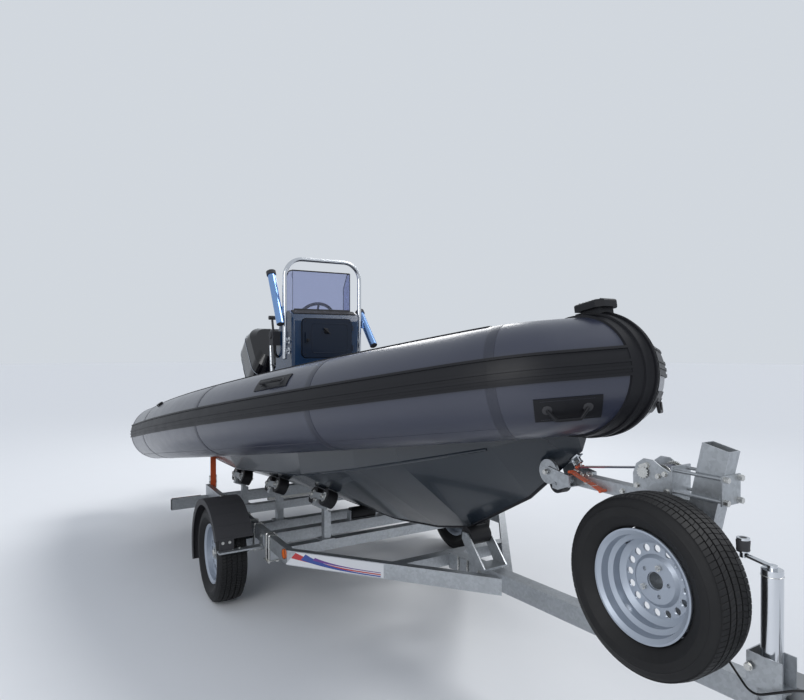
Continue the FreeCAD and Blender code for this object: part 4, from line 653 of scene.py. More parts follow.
@dataclass
class Tyre:
    """A road tyre with grooves and blocks in its tread."""

    name: str
    node: str
    body: str
    centre: Point
    radius: float = 0.2915
    half: float = 0.0905
    bead: float = 0.1862
    bead_half: float = 0.0592
    groove: float = 0.007
    pitches: int = 96

    def section(self) -> list[tuple[float, float]]:
        """The carcass without its blocks.

        Returns:
            Pairs of width and radius, from bead to bead.
        """
        floor = self.radius - self.groove
        outer = [
            (self.bead_half - 0.003, self.bead - 0.0008), (self.bead_half + 0.004, self.bead + 0.004),
            (0.07, 0.199), (0.0795, 0.212), (0.0855, 0.2215), (0.0862, 0.2225), (0.0885, 0.2255),
            (self.half - 0.0008, 0.236), (self.half, 0.2435), (0.0882, 0.253), (0.0889, 0.2545),
            (0.0868, 0.2565), (0.0842, 0.264), (0.0805, 0.2715), (0.0768, floor - 0.006),
            (0.07, floor - 0.0012), (0.03, floor + 0.001)]
        return outer + [(-y, r) for y, r in reversed(outer)]

    def build(self) -> None:
        """Spins the carcass and lays the blocks round it."""
        shape = Shape(self.name)
        shape.turned(self.section(), (0, 0, 0), (0, 0, 1), 96, closed=True)
        step = 2 * pi / self.pitches
        tread = self.radius - self.groove - 0.0035
        rows = (
            (0, 0.0245, 0.945, 0, 0), (0.0305, 0.0245, 0.925, 0.35, 0.3), (-0.0305, 0.0245, 0.925, -0.35,
                0.8),
            (0.0605, 0.0275, 0.905, 0.18, 0.5), (-0.0605, 0.0275, 0.905, -0.18, 0))
        for y, width, share, slant, offset in rows:
            crown = self.radius - 0.35 * y * y
            long = step * crown * share
            geometry = bmesh.ops.create_cube(shape.mesh, size=1)["verts"]
            bmesh.ops.scale(shape.mesh, vec=(crown - tread, long, width), verts=geometry)
            for vert in geometry:
                vert.co.y += slant * vert.co.z
                if vert.co.x > 0 and abs(y) > 0.05 and vert.co.z * y > 0:
                    vert.co.x -= 0.0055
            bmesh.ops.translate(shape.mesh, vec=((crown + tread) / 2, 0, y), verts=geometry)
            top = [e for e in {e for v in geometry for e in v.link_edges}
                if min(v.co.x for v in e.verts) > tread + 0.001]
            bmesh.ops.bevel(shape.mesh, geom=top, offset=0.0008, offset_type="OFFSET", affect="EDGES",
                segments=1, profile=0.5, material=-1)
            block = self.island(shape, geometry[0] if geometry[0].is_valid else None, y, tread)
            bmesh.ops.rotate(shape.mesh, cent=(0, 0, 0), matrix=Matrix.Rotation(step * offset, 3, "Z"),
                verts=only_verts(block))
            bmesh.ops.spin(shape.mesh, geom=block, cent=(0, 0, 0), axis=(0, 0, 1), angle=2 * pi - step,
                steps=self.pitches - 1, use_duplicate=True)
        shape.place(shape.mesh.verts[:], self.centre, (0, 1, 0))
        shape.piece(TYRE_RUBBER, self.body, 28, [self.node])

    def island(self, shape: Shape, seed: Vert | None, y: float, tread: float) -> list:
        """Finds the block that was just made.

        Args:
            shape: The tyre's shape.
            seed: One of the block's vertices.
            y: Where the block's row is.
            tread: The radius of the block's foot.

        Returns:
            Its vertices, edges and faces.
        """
        start = seed or min(shape.mesh.verts, key=lambda v: (v.co - Vector((tread, 0, y))).length)
        found, todo = {start}, [start]
        while todo:
            for edge in todo.pop().link_edges:
                for vert in edge.verts:
                    if vert not in found:
                        found.add(vert)
                        todo.append(vert)
        edges = {e for v in found for e in v.link_edges}
        faces = {f for v in found for f in v.link_faces}
        return list(found) + list(edges) + list(faces)


def rounded_loop(half_u: float, half_v: float, radius: float, steps: int = 5) -> list[tuple[float, float]]:
    """The corners of a rounded rectangle round the origin.

    Args:
        half_u: Half its width.
        half_v: Half its height.
        radius: The radius of its corners.
        steps: How many steps each corner has.

    Returns:
        Pairs, counter-clockwise.
    """
    loop = []
    for quarter, (su, sv) in enumerate(((1, 1), (-1, 1), (-1, -1), (1, -1))):
        for k in range(steps + 1):
            a = pi / 2 * (quarter + k / steps)
            loop.append((su * (half_u - radius) + radius * cos(a), sv * (half_v - radius) + radius * sin(a)))
    return loop


@dataclass
class TubeDress:
    """Seam tapes, long seams, valves, handle fittings and bow step ribs on the inflated tubes."""

    radius: float = 0.235
    half_beam: float = 0.97
    pivot_x: float = -2.497
    pivot_z: float = 0.731
    sheer: float = radians(9.1)
    straight_front: float = -1.5
    straight_rear: float = -2.06
    bends: tuple[tuple[float, float], ...] = ((9.5, 21.0), (0.88, 30.0), (0.3, 60.0))
    leg_step: float = 0.01
    tape_half: float = 0.021
    tape_lift: float = 0.0011
    tape_headings: tuple[float, ...] = (0.6, 8.75, 16.0, 30.5)

    def centres(self) -> list[tuple[float, float, float, float]]:
        """The middles of the tube line's arcs.

        Returns:
            Rows of x, y, radius and last heading.
        """
        rows, x, y, last, at = [], self.straight_front, self.half_beam, 0.0, 0.0
        for radius, end in self.bends:
            step = last - radius
            x, y = x + (step * sin(radians(at)) if last else 0), y + step * cos(radians(at))
            rows.append((x, y, radius, end))
            last, at = radius, end
        return rows

    def lift(self, point: Point) -> Point:
        """Turns a point from the tube line's plane to its place."""
        moved = Matrix.Rotation(-self.sheer, 3, "Y") @ (Vector(point) - Vector((self.pivot_x, 0, 0)))
        return tuple(moved + Vector((self.pivot_x, 0, self.pivot_z)))

    def point(self, heading: float, angle: float, reach: float) -> Point:
        """A point on or near the port tube.

        Args:
            heading: The tube line's heading in degrees; below zero it is metres aft of the first bend.
            angle: The angle round the section in degrees, from outboard upwards.
            reach: The distance from the tube's middle line.

        Returns:
            The point on the boat.
        """
        out, up = reach * cos(radians(angle)), reach * sin(radians(angle))
        if heading < 0:
            return self.lift((self.straight_front + heading, self.half_beam + out, up))
        rows = self.centres()
        row = next((r for r in rows if heading <= r[3]), None)
        x, y, radius, last = row or rows[-1]
        turn = radians(heading if row else last)
        run = 0.0 if row else (heading - last) * self.leg_step
        return self.lift((x + (radius + out) * sin(turn) + run * cos(turn),
            y + (radius + out) * cos(turn) - run * sin(turn), up))

    def along(self, heading: float) -> Vector:
        """The tube line's direction."""
        step = 0.02 if heading < 0 else 0.05
        return (Vector(self.point(heading + step, 90, 0)) - Vector(self.point(heading, 90, 0))).normalized()

    def tapes(self) -> None:
        """Lays the tapes over the joints between the chambers."""
        shape = Shape("tube_seam_tapes")
        low, high, half = self.radius - 0.0006, self.radius + self.tape_lift, self.tape_half
        for heading in self.tape_headings:
            profile = [(-half, low), (-half, high - 0.0003), (-half + 0.002, high), (half - 0.002, high),
                (half, high - 0.0003), (half, low)]
            shape.turned(profile, self.point(heading, 0, 0), self.along(heading), 96, closed=True)
        start, ahead, end = (self.lift((self.straight_rear + x, self.half_beam, 0)) for x in (0.006, 1, 0))
        profile = [(-0.018, low), (-0.018, high), (0.018, high), (0.018, low)]
        shape.turned(profile, start, Vector(ahead) - Vector(end), 96, closed=True)
        shape.both_sides()
        shape.piece(SEAM_FABRIC, ROOT, 40)

    def long_seams(self) -> None:
        """Runs the long lap seams under the tubes and inboard of the mats."""
        shape = Shape("tube_long_seams")
        for angle in (118.0, -52.0):
            stops = [self.point(-s, angle, self.radius + 0.0002) for s in (0.55, 0.4, 0.2, 0.02)]
            headings = [0.4 + 1.1 * k for k in range(19)] + [24, 27, 30]
            stops += [self.point(h, angle, self.radius + 0.0002) for h in headings]
            shape.hose(stops, 0.0015, 6)
        shape.both_sides()
        shape.piece(SEAM_FABRIC, ROOT, 60)

    def valves(self) -> None:
        """Sets an inflation valve in each chamber, inboard."""
        shape = Shape("inflation_valves")
        for heading, angle in ((2.2, 138.0), (12.0, 138.0), (20.5, 140.0), (52.0, 132.0)):
            foot = Vector(self.point(heading, angle, self.radius + 0.0002))
            way = (foot - Vector(self.point(heading, angle, 0))).normalized()
            shape.turned([(0, 0), (0, 0.03), (0.003, 0.029), (0.0045, 0.024), (0.004, 0.021), (0.009, 0.019),
                (0.01, 0.017), (0.01, 0)], foot, way, 32)
            for k in range(6):
                a = pi / 3 * k
                side = way.orthogonal().normalized()
                grip = foot + way * 0.0095 + (side * cos(a) + way.cross(side) * sin(a)) * 0.0165
                shape.rod(grip - way * 0.004, grip + way * 0.001, 0.0022, segments=8)
        shape.both_sides()
        shape.piece(MOULDED_BLACK)

    def handle_stitches(self) -> None:
        """Adds the plates and stitches of the carry and grab handles."""
        stitch, plate = Shape("handle_stitches"), Shape("handle_plates")
        pads = ((47.0, 74.0, -46.0, -22.0, 0.004), (13.1, 14.9, 28.0, 47.0, 0.005))
        for start, end, low, high, rise in pads:
            edge = 0.1
            for angle in (low + (high - low) * edge, high - (high - low) * edge):
                count = 26
                for k in range(count):
                    h0 = start + (end - start) * (edge + (1 - 2 * edge) * k / count)
                    h1 = h0 + (end - start) * (1 - 2 * edge) / count * 0.6
                    reach = self.radius + rise + 0.0002
                    stitch.hose([self.point(h0, angle, reach), self.point(h1, angle, reach)], 0.0008, 5)
            mid = (low + high) / 2
            for share in (0.2, 0.8):
                heading = start + (end - start) * share
                foot = Vector(self.point(heading, mid + 1, self.radius + rise))
                way = (foot - Vector(self.point(heading, mid + 1, 0))).normalized()
                plate.turned([(0, 0), (0, 0.019), (0.002, 0.0185), (0.003, 0.016), (0.003, 0)], foot, way, 28)
        for shape, finish in ((stitch, SEAM_FABRIC), (plate, BLACK_PLASTIC)):
            shape.both_sides()
            shape.piece(finish)

    def step_ribs(self) -> None:
        """Adds the grip ribs on the bow step."""
        shape = Shape("bow_step_ribs")
        for k in range(7):
            x = 2.238 + 0.017 * k
            half = 0.046 if k < 5 else 0.04
            shape.hose([self.lift((x, -half, 0.2885)), self.lift((x, half, 0.2885))], 0.0022, 8)
        shape.piece(MOULDED_BLACK)

    def build(self) -> None:
        """Builds all of the tubes' fittings."""
        self.tapes()
        self.long_seams()
        self.valves()
        self.handle_stitches()
        self.step_ribs()


@dataclass
class HullDress:
    """Chine edge, keel strip and drain on the moulded hull."""

    stations: tuple[tuple[float, float, float, float], ...] = (
        (-1.95, 0.43, 0.69, 0.655), (-0.48, 0.455, 0.705, 0.718), (0.6, 0.51, 0.64, 0.862),
        (1.07, 0.58, 0.53, 0.965), (1.35, 0.65, 0.44, 1.035), (1.8, 0.9, 0.235, 1.15),
        (2.11, 1.16, 0.045, 1.262))

    def surface(self, x: float, share: float) -> Point:
        """A point on the hull's port bottom panel.

        Args:
            x: The station.
            share: How far out it is, 0 at the keel and 1 at the chine.

        Returns:
            The point.
        """
        for first, after in zip(self.stations, self.stations[1:]):
            if x <= after[0]:
                t = (x - first[0]) / (after[0] - first[0])
                keel, chine, height = (first[i] + t * (after[i] - first[i]) for i in (1, 2, 3))
                return (x, chine * share, keel + (height - keel) * share)
        return (x, 0, 0)

    def rails(self) -> None:
        """Rounds the chine's edge."""
        shape = Shape("chine_edge")
        start, end, count = -1.945, 1.78, 30
        route = [self.surface(start + (end - start) * k / count, 0.985) for k in range(count + 1)]
        shape.hose([(x, y, z - 0.001) for x, y, z in route], 0.008, 8)
        shape.both_sides()
        shape.piece(GELCOAT_GREY, ROOT, 40)

    def keel_strip(self) -> None:
        """Lays the wear strip along the keel."""
        shape = Shape("keel_wear_strip")
        stops = [-1.94 + 0.1 * k for k in range(36)] + [1.72, 1.8, 1.86, 1.9]
        shape.hose([(x, 0, self.surface(x, 0)[2] + 0.0035) for x in stops], 0.0085, 10)
        shape.piece(MOULDED_BLACK, ROOT, 40)

    def transom_fittings(self) -> None:
        """Adds the drain socket and the two lashing eyes on the transom."""
        shape = Shape("transom_fittings")
        shape.turned([(0, 0), (0, 0.03), (0.004, 0.029), (0.005, 0.02), (0.014, 0.018), (0.015, 0)],
            (-2.0, 0, 0.52), (-1, 0, 0), 32)
        for side in (-1, 1):
            base = Vector((-2.0, side * 0.46, 0.8))
            shape.turned([(0, 0), (0, 0.022), (0.003, 0.021), (0.003, 0)], base, (-1, 0, 0), 24)
            shape.ring((-2.018, side * 0.46, 0.8), (0, 1, 0), 0.016, 0.0042)
        shape.piece(STAINLESS)

    def build(self) -> None:
        """Builds all of the hull's trim."""
        self.rails()
        self.keel_strip()
        self.transom_fittings()


@dataclass
class ConsoleDress:
    """The console's trim, hatch fittings, dash, screen edge and hoop fittings."""

    front: float = -0.47
    half: float = 0.28
    top: float = 1.868
    hatch_half: float = 0.208
    hatch_low: float = 1.508
    hatch_high: float = 1.806
    dash_low: tuple[float, float] = (-0.845, 1.6)
    dash_top: tuple[float, float] = (-0.7, 1.868)
    helm_y: float = 0.07
    helm_rise: float = 0.165
    helm_reach: float = 0.118
    hoop_x: float = -0.54
    hoop_y: float = 0.317

    def dash(self, out: float, up: float, y: float) -> Point:
        """A point on or off the dash.

        Args:
            out: The distance off the dash.
            up: The distance above the helm's shaft, on the dash.
            y: The place across the boat.

        Returns:
            The point.
        """
        rise = Vector((self.dash_top[0] - self.dash_low[0], 0,
            self.dash_top[1] - self.dash_low[1])).normalized()
        face = Vector((-rise.z, 0, rise.x))
        foot = Vector((self.dash_low[0], 0, self.dash_low[1])) + rise * self.helm_rise
        spot = foot + face * out + rise * up
        return (spot.x, y, spot.z)

    def facing(self) -> Vector:
        """The direction square off the dash."""
        return (Vector(self.dash(1, 0, 0)) - Vector(self.dash(0, 0, 0))).normalized()

    def edge_trim(self) -> None:
        """Lays the dark trim along the console's top front edge."""
        shape = Shape("console_edge_trim")
        shape.slab([(-0.4985, 1.8415), (-0.496, 1.85), (-0.548, 1.8735), (-0.556, 1.869)], "Y", -0.262, 0.262)
        shape.piece(BLACK_PLASTIC)

    def hatch_frame(self) -> None:
        """Adds the seal round the hatch and its screws."""
        seal, screws = Shape("hatch_seal"), Shape("hatch_screws")
        mid = (self.hatch_low + self.hatch_high) / 2
        loop = rounded_loop(self.hatch_half + 0.002, (self.hatch_high - self.hatch_low) / 2 + 0.002, 0.036)
        seal.hose([(self.front + 0.0015, y, mid + z) for y, z in loop], 0.003, 8, loop=True)
        seal.piece(MOULDED_BLACK)
        for y in (-0.186, 0.186):
            for z in (self.hatch_low + 0.024, self.hatch_high - 0.024):
                screws.dome((self.front + 0.015, y, z), (1, 0, 0), 0.005, 0.002, 16)
        screws.piece(MOULDED_BLACK, "console_hatch")

    def hatch_panel(self) -> None:
        """Adds the raised field, latch and key cap on the hatch."""
        field, latch = Shape("hatch_field"), Shape("hatch_latch")
        mid = (self.hatch_low + self.hatch_high) / 2
        loop = rounded_loop(0.15, 0.112, 0.024)
        field.hose([(self.front + 0.015, y + 0.02, mid + z) for y, z in loop], 0.0022, 8, loop=True)
        field.piece(HATCH_NAVY, "console_hatch")
        seat = (self.front + 0.027, -0.171, 1.64)
        latch.turned([(0, 0), (0, 0.013), (0.004, 0.012), (0.005, 0.009), (0.005, 0)], seat, (1, 0, 0), 24)
        latch.block((self.front + 0.031, -0.1735, 1.63), (self.front + 0.036, -0.1685, 1.65), 0.001)
        latch.piece(MOULDED_BLACK, "console_hatch")
        lever = Shape("hatch_lever")
        seat = (self.front + 0.014, -0.012, 1.712)
        lever.turned([(0, 0), (0, 0.022), (0.004, 0.021), (0.006, 0.016), (0.012, 0.014), (0.012, 0)], seat,
            (1, 0, 0), 32)
        lever.hose([(seat[0] + 0.011, seat[1] - 0.024, seat[2] + 0.02), (seat[0] + 0.013, seat[1], seat[2]),
            (seat[0] + 0.011, seat[1] + 0.024, seat[2] - 0.02)], 0.006, 10)
        lever.piece(MOULDED_BLACK, "console_hatch")

    def gauges(self) -> None:
        """Sets three gauges in the dash."""
        bezel, face, marks = Shape("gauge_bezels"), Shape("gauge_faces"), Shape("gauge_marks")
        out = self.facing()
        for y, up, radius in ((-0.105, 0.088, 0.042), (-0.205, 0.088, 0.042), (0.225, 0.085, 0.028)):
            seat = self.dash(0.0002, up, y)
            bezel.turned([(0, radius - 0.004), (0, radius), (0.006, radius - 0.001), (0.008, radius - 0.004),
                (0.006, radius - 0.006)], seat, out, 40, closed=True)
            face.turned([(0, 0), (0, radius - 0.004), (0.0045, radius - 0.004), (0.0048, 0)], seat, out, 40)
            for k in range(9):
                a = radians(-130 + 32.5 * k)
                near, far = (radius - 0.012), (radius - 0.008)
                spots = [self.dash(0.005, up + r * cos(a), y + r * sin(a)) for r in (near, far)]
                marks.hose(spots, 0.0007, 5)
            needle = [self.dash(0.0058, up, y), self.dash(0.0058, up - (radius - 0.016) * 0.5,
                y - (radius - 0.016) * 0.86)]
            marks.hose(needle, 0.0009, 5)
        bezel.piece(STAINLESS)
        face.piece(DIAL_BLACK)
        marks.piece(DIAL_WHITE)

    def switches(self) -> None:
        """Adds the switch panel with its rockers and the key switch."""
        panel, rockers, key = Shape("switch_panel"), Shape("switch_rockers"), Shape("key_switch")
        out, start = self.facing(), Vector(self.dash(0, 0, 0))
        rise = (Vector(self.dash(0, 1.0, 0)) - start).normalized()
        turn = Matrix(((out.x, 0, rise.x), (0, 1, 0), (out.z, 0, rise.z))).to_4x4()
        place = Matrix.Translation(start) @ turn
        panel.block((0.0002, -0.262, -0.13), (0.0042, -0.15, 0.03), 0.0015)
        for column in range(2):
            for row in range(3):
                y, z = -0.243 + 0.055 * column, -0.112 + 0.047 * row
                rockers.block((0.0044, y, z), (0.0095, y + 0.02, z + 0.034), 0.002)
        key.turned([(0, 0), (0, 0.017), (0.006, 0.016), (0.008, 0.011), (0.008, 0)], (0.0002, 0.228, -0.08),
            (1, 0, 0), 28)
        key.block((0.008, 0.2255, -0.088), (0.026, 0.2305, -0.072), 0.001)
        for shape, finish in ((panel, BLACK_PLASTIC), (rockers, MOULDED_BLACK), (key, BRIGHT_ZINC)):
            shape.move(place)
            shape.piece(finish)

    def wheel_trim(self) -> None:
        """Adds the helm's hub cap and grip ribs."""
        cap, grip = Shape("helm_hub_cap"), Shape("helm_grip_ribs")
        out = self.facing()
        cap.turned([(0, 0), (0, 0.036), (0.004, 0.035), (0.007, 0.026), (0.008, 0)],
            self.dash(self.helm_reach + 0.0101, 0, self.helm_y), out, 36)
        cap.piece(BRIGHT_ZINC, "helm_wheel")
        for k in range(36):
            a = radians(10 * k + 5)
            centre = self.dash(self.helm_reach, 0.165 * sin(a), self.helm_y + 0.165 * cos(a))
            way = Vector((0, -sin(a), 0)) + (Vector(self.dash(0, cos(a), 0)) - Vector(self.dash(0, 0, 0)))
            grip.ring(centre, way, 0.0128, 0.0012, 18, 6)
        grip.piece(MOULDED_BLACK, "helm_wheel")

    def throttle_trim(self) -> None:
        """Adds the control box's boss, screws, grip ribs and cables."""
        shape, cables = Shape("throttle_trim"), Shape("control_cables")
        y = -self.half - 0.062
        shape.turned([(0, 0), (0, 0.03), (0.008, 0.027), (0.01, 0.014), (0.01, 0)], (-0.79, y, 1.68),
            (0, -1, 0), 32)
        for x, z in ((-0.825, 1.612), (-0.75, 1.612), (-0.825, 1.7), (-0.75, 1.7)):
            shape.dome((x, y, z), (0, -1, 0), 0.0045, 0.002, 12)
        for k in range(5):
            shape.ring((-0.823, y + 0.002 + 0.01 * k + 0.004, 1.822), (0, 1, 0), 0.016, 0.0012, 24, 6)
        shape.piece(BLACK_PLASTIC)
        for k, x in enumerate((-0.805, -0.77)):
            cables.hose([(x, -0.31, 1.602), (x, -0.31, 1.56), (x - 0.004, -0.302, 1.53),
                (x - 0.006, -0.286, 1.51), (x - 0.006, -0.276, 1.504)], 0.006, 10)
        cables.piece(CABLE_BLACK)

    def screen_edge(self) -> None:
        """Runs the rubber edge round the screen and its foot strip."""
        edge, foot = Shape("screen_edge"), Shape("screen_foot_strip")
        side = [(-0.7245, 0.264, 1.872), (-0.7245, 0.264, 2.072), (-0.715, 0.2628, 2.084),
            (-0.632, 0.2524, 2.173), (-0.62, 0.2508, 2.1795), (-0.575, 0.2452, 2.18), (-0.5665, 0.24, 2.18)]
        route = side + [(x, -y, z) for x, y, z in reversed(side)]
        edge.hose(route, 0.0052, 10)
        edge.piece(MOULDED_BLACK)
        foot.block((-0.5628, -0.236, 1.869), (-0.5555, 0.236, 1.886), 0.0015)
        for k in range(5):
            foot.dome((-0.5555, -0.2 + 0.1 * k, 1.8775), (1, 0, 0), 0.0045, 0.0025, 14)
        foot.piece(BLACK_PLASTIC)

    def hoop_fittings(self) -> None:
        """Adds flange screws, weld collars and end plugs of the hoop."""
        shape, plugs = Shape("hoop_fittings"), Shape("hoop_end_plugs")
        for z in (1.56, 1.64):
            shape.ring((self.hoop_x, self.hoop_y - 0.0165, z), (0, 1, 0), 0.0108, 0.002, 24, 8)
            for k in range(3):
                a = radians(90 + 120 * k)
                spot = (self.hoop_x + 0.018 * cos(a), self.half + 0.0052, z + 0.018 * sin(a))
                shape.dome(spot, (0, 1, 0), 0.0042, 0.0024, 12)
        plugs.dome((self.hoop_x, self.hoop_y, 1.5002), (0, 0, -1), 0.0158, 0.006, 24)
        for item, finish in ((shape, STAINLESS), (plugs, BLACK_PLASTIC)):
            item.both_sides()
            item.piece(finish)

    def holder_caps(self) -> None:
        """Adds the black rims and foot plugs of the rod holders."""
        shape = Shape("rod_holder_rims")
        y = 0.371
        for side, low, high in ((-1, (-0.482, 1.76), (-0.7, 2.172)), (1, (-0.392, 1.6), (-0.64, 1.88))):
            start, end = Vector((low[0], side * y, low[1])), Vector((high[0], side * y, high[1]))
            way = (end - start).normalized()
            shape.turned([(-0.03, 0.0352), (-0.03, 0.0368), (0.0015, 0.0375), (0.003, 0.035),
                (0.003, 0.0275), (0, 0.0252), (-0.03, 0.0252), (-0.0302, 0.0248), (0.0005, 0.0248),
                (0.0005, 0.0352)], end, way, 40, closed=True)
            shape.turned([(0, 0), (0, 0.026), (0.004, 0.0295), (0.004, 0)], start - way * 0.0042, way, 32)
        shape.piece(BLACK_PLASTIC)

    def build(self) -> None:
        """Builds all of the console's fittings."""
        self.edge_trim()
        self.hatch_frame()
        self.hatch_panel()
        self.gauges()
        self.switches()
        self.wheel_trim()
        self.throttle_trim()
        self.screen_edge()
        self.hoop_fittings()
        self.holder_caps()


@dataclass
class Cushion:
    """One padded part of the helm seat, swollen by a cloth simulation."""

    name: str
    low: Point
    high: Point
    lean: float
    lean_pivot: Point
    edge: float = 0.026
    shrink: float = 0.006
    voxel: float = 0.006
    cap: float = 0.01
    pressure: float = 4.0
    channels: int = 2

    def core(self) -> bpy.types.Object:
        """Makes the slightly smaller starting block.

        Returns:
            The starting object.
        """
        shape = Shape(self.name)
        low = tuple(c + self.shrink for c in self.low)
        high = tuple(c - self.shrink for c in self.high)
        shape.block(low, high)
        shape.soften(shape.mesh.verts[:], self.edge - self.shrink, 4)
        shape.move(about(self.lean_pivot, self.lean))
        return shape.piece(SEAT_VINYL, ROOT, 60)

    def swell(self, pad: bpy.types.Object) -> None:
        """Remeshes the pad, blows it up and keeps the shape.

        Args:
            pad: The pad.
        """
        scene = bpy.context.scene
        remesh = pad.modifiers.new("even", "REMESH")
        remesh.mode = "VOXEL"
        remesh.voxel_size = self.voxel
        self.keep(pad)
        before = [v.co.copy() for v in pad.data.vertices]
        cloth = pad.modifiers.new("swell", "CLOTH")
        cloth.settings.use_pressure = True
        cloth.settings.uniform_pressure_force = self.pressure
        cloth.settings.effector_weights.gravity = 0.0
        cloth.point_cache.frame_start, cloth.point_cache.frame_end = 1, 20
        for step in range(1, 21):
            scene.frame_set(step)
        self.keep(pad)
        scene.frame_set(1)
        for vert, old in zip(pad.data.vertices, before):
            moved = vert.co - old
            if moved.length > self.cap:
                vert.co = old + moved.normalized() * self.cap
        finer = pad.modifiers.new("finer", "SUBSURF")
        finer.levels = finer.render_levels = 1
        self.keep(pad)
        for face in pad.data.polygons:
            face.use_smooth = True

    def keep(self, pad: bpy.types.Object) -> None:
        """Applies every modifier of the pad.

        Args:
            pad: The pad.
        """
        view = bpy.context.evaluated_depsgraph_get()
        made = bpy.data.meshes.new_from_object(pad.evaluated_get(view))
        old = pad.data
        pad.modifiers.clear()
        pad.data = made
        bpy.data.meshes.remove(old)

    def seams(self, pad: bpy.types.Object) -> None:
        """Presses the sewn channels and lays piping round the pad's face.

        Args:
            pad: The pad.
        """
        lean = about(self.lean_pivot, self.lean)
        back = lean.inverted()
        tall = self.high[2] - self.low[2] > self.high[0] - self.low[0]
        u, w = (2, 0) if tall else (0, 2)
        span = self.high[u] - self.low[u]
        lines = [self.low[u] + span * (k + 1) / (self.channels + 1) for k in range(self.channels)]
        middle = (self.low[w] + self.high[w]) / 2
        for vert in pad.data.vertices:
            local = back @ vert.co
            for line in lines:
                dip = exp(-((local[u] - line) / 0.0055) ** 2) * 0.006
                side = (local[w] - middle) / (self.high[w] - self.low[w]) * 2
                if side > 0.4:
                    local[w] -= dip * min(1.0, (side - 0.4) * 2)
            vert.co = lean @ local
        pad.data.update()
        piping = Shape(self.name + "_piping")
        half_u, half_v = span / 2 - 0.012, (self.high[1] - self.low[1]) / 2 - 0.012
        mid_u, mid_v = (self.low[u] + self.high[u]) / 2, (self.low[1] + self.high[1]) / 2
        route = []
        for a, b in rounded_loop(half_u, half_v, 0.034, 6):
            place = [0, 0, 0]
            place[u], place[1], place[w] = mid_u + a, mid_v + b, self.high[w] - 0.004
            near, normal = pad.closest_point_on_mesh(lean @ Vector(place))[1:3]
            route.append(near + normal * 0.001)
        piping.hose(route, 0.0038, 8, loop=True)
        piping.piece(PIPING_GREY, ROOT, 60)

    def build(self) -> None:
        """Makes the pad."""
        pad = self.core()
        self.swell(pad)
        pad.data.materials.clear()
        pad.data.materials.append(SEAT_VINYL.build())
        self.seams(pad)
        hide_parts("seat_cushions")


@dataclass
class SeatDress:
    """The helm seat's cushions and the pod's small fittings."""

    front: float = -1.03
    back: float = -1.39
    side: float = 0.045
    half: float = 0.205
    top: float = 1.29
    rail_x: float = -1.406

    def build(self) -> None:
        """Builds the cushions and the edge and latch of the pod's door."""
        pivot = (self.rail_x, self.side, self.top - 0.03)
        low = (self.back + 0.062, self.side - self.half + 0.005, self.top)
        high = (self.front + 0.012, self.side + self.half - 0.005, self.top + 0.092)
        Cushion("seat_pad", low, high, 0, pivot, channels=2).build()
        low = (self.back - 0.0028, self.side - self.half + 0.012, self.top + 0.104)
        high = (self.back + 0.072, self.side + self.half - 0.012, self.top + 0.47)
        Cushion("back_pad", low, high, radians(-6), pivot, channels=3).build()
        door, latch = Shape("pod_door_seal"), Shape("pod_latch")
        loop = rounded_loop(0.13, 0.14, 0.024)
        slope = 0.03 / (self.top - 0.8)
        door.hose([(self.front - 0.03 * (self.top - 1.06 - z) / (self.top - 0.795) + 0.001, self.side + y,
            1.06 + z) for y, z in loop], 0.0028, 8, loop=True)
        door.piece(BLACK_PLASTIC)
        z = 1.06
        latch.turned([(0, 0), (0, 0.02), (0.004, 0.019), (0.006, 0.01), (0.006, 0)],
            (self.front - 0.03 * (self.top - z) / (self.top - 0.795) + 0.0004, self.side - 0.1, z),
            (1, 0, -slope), 24)
        latch.piece(STAINLESS)


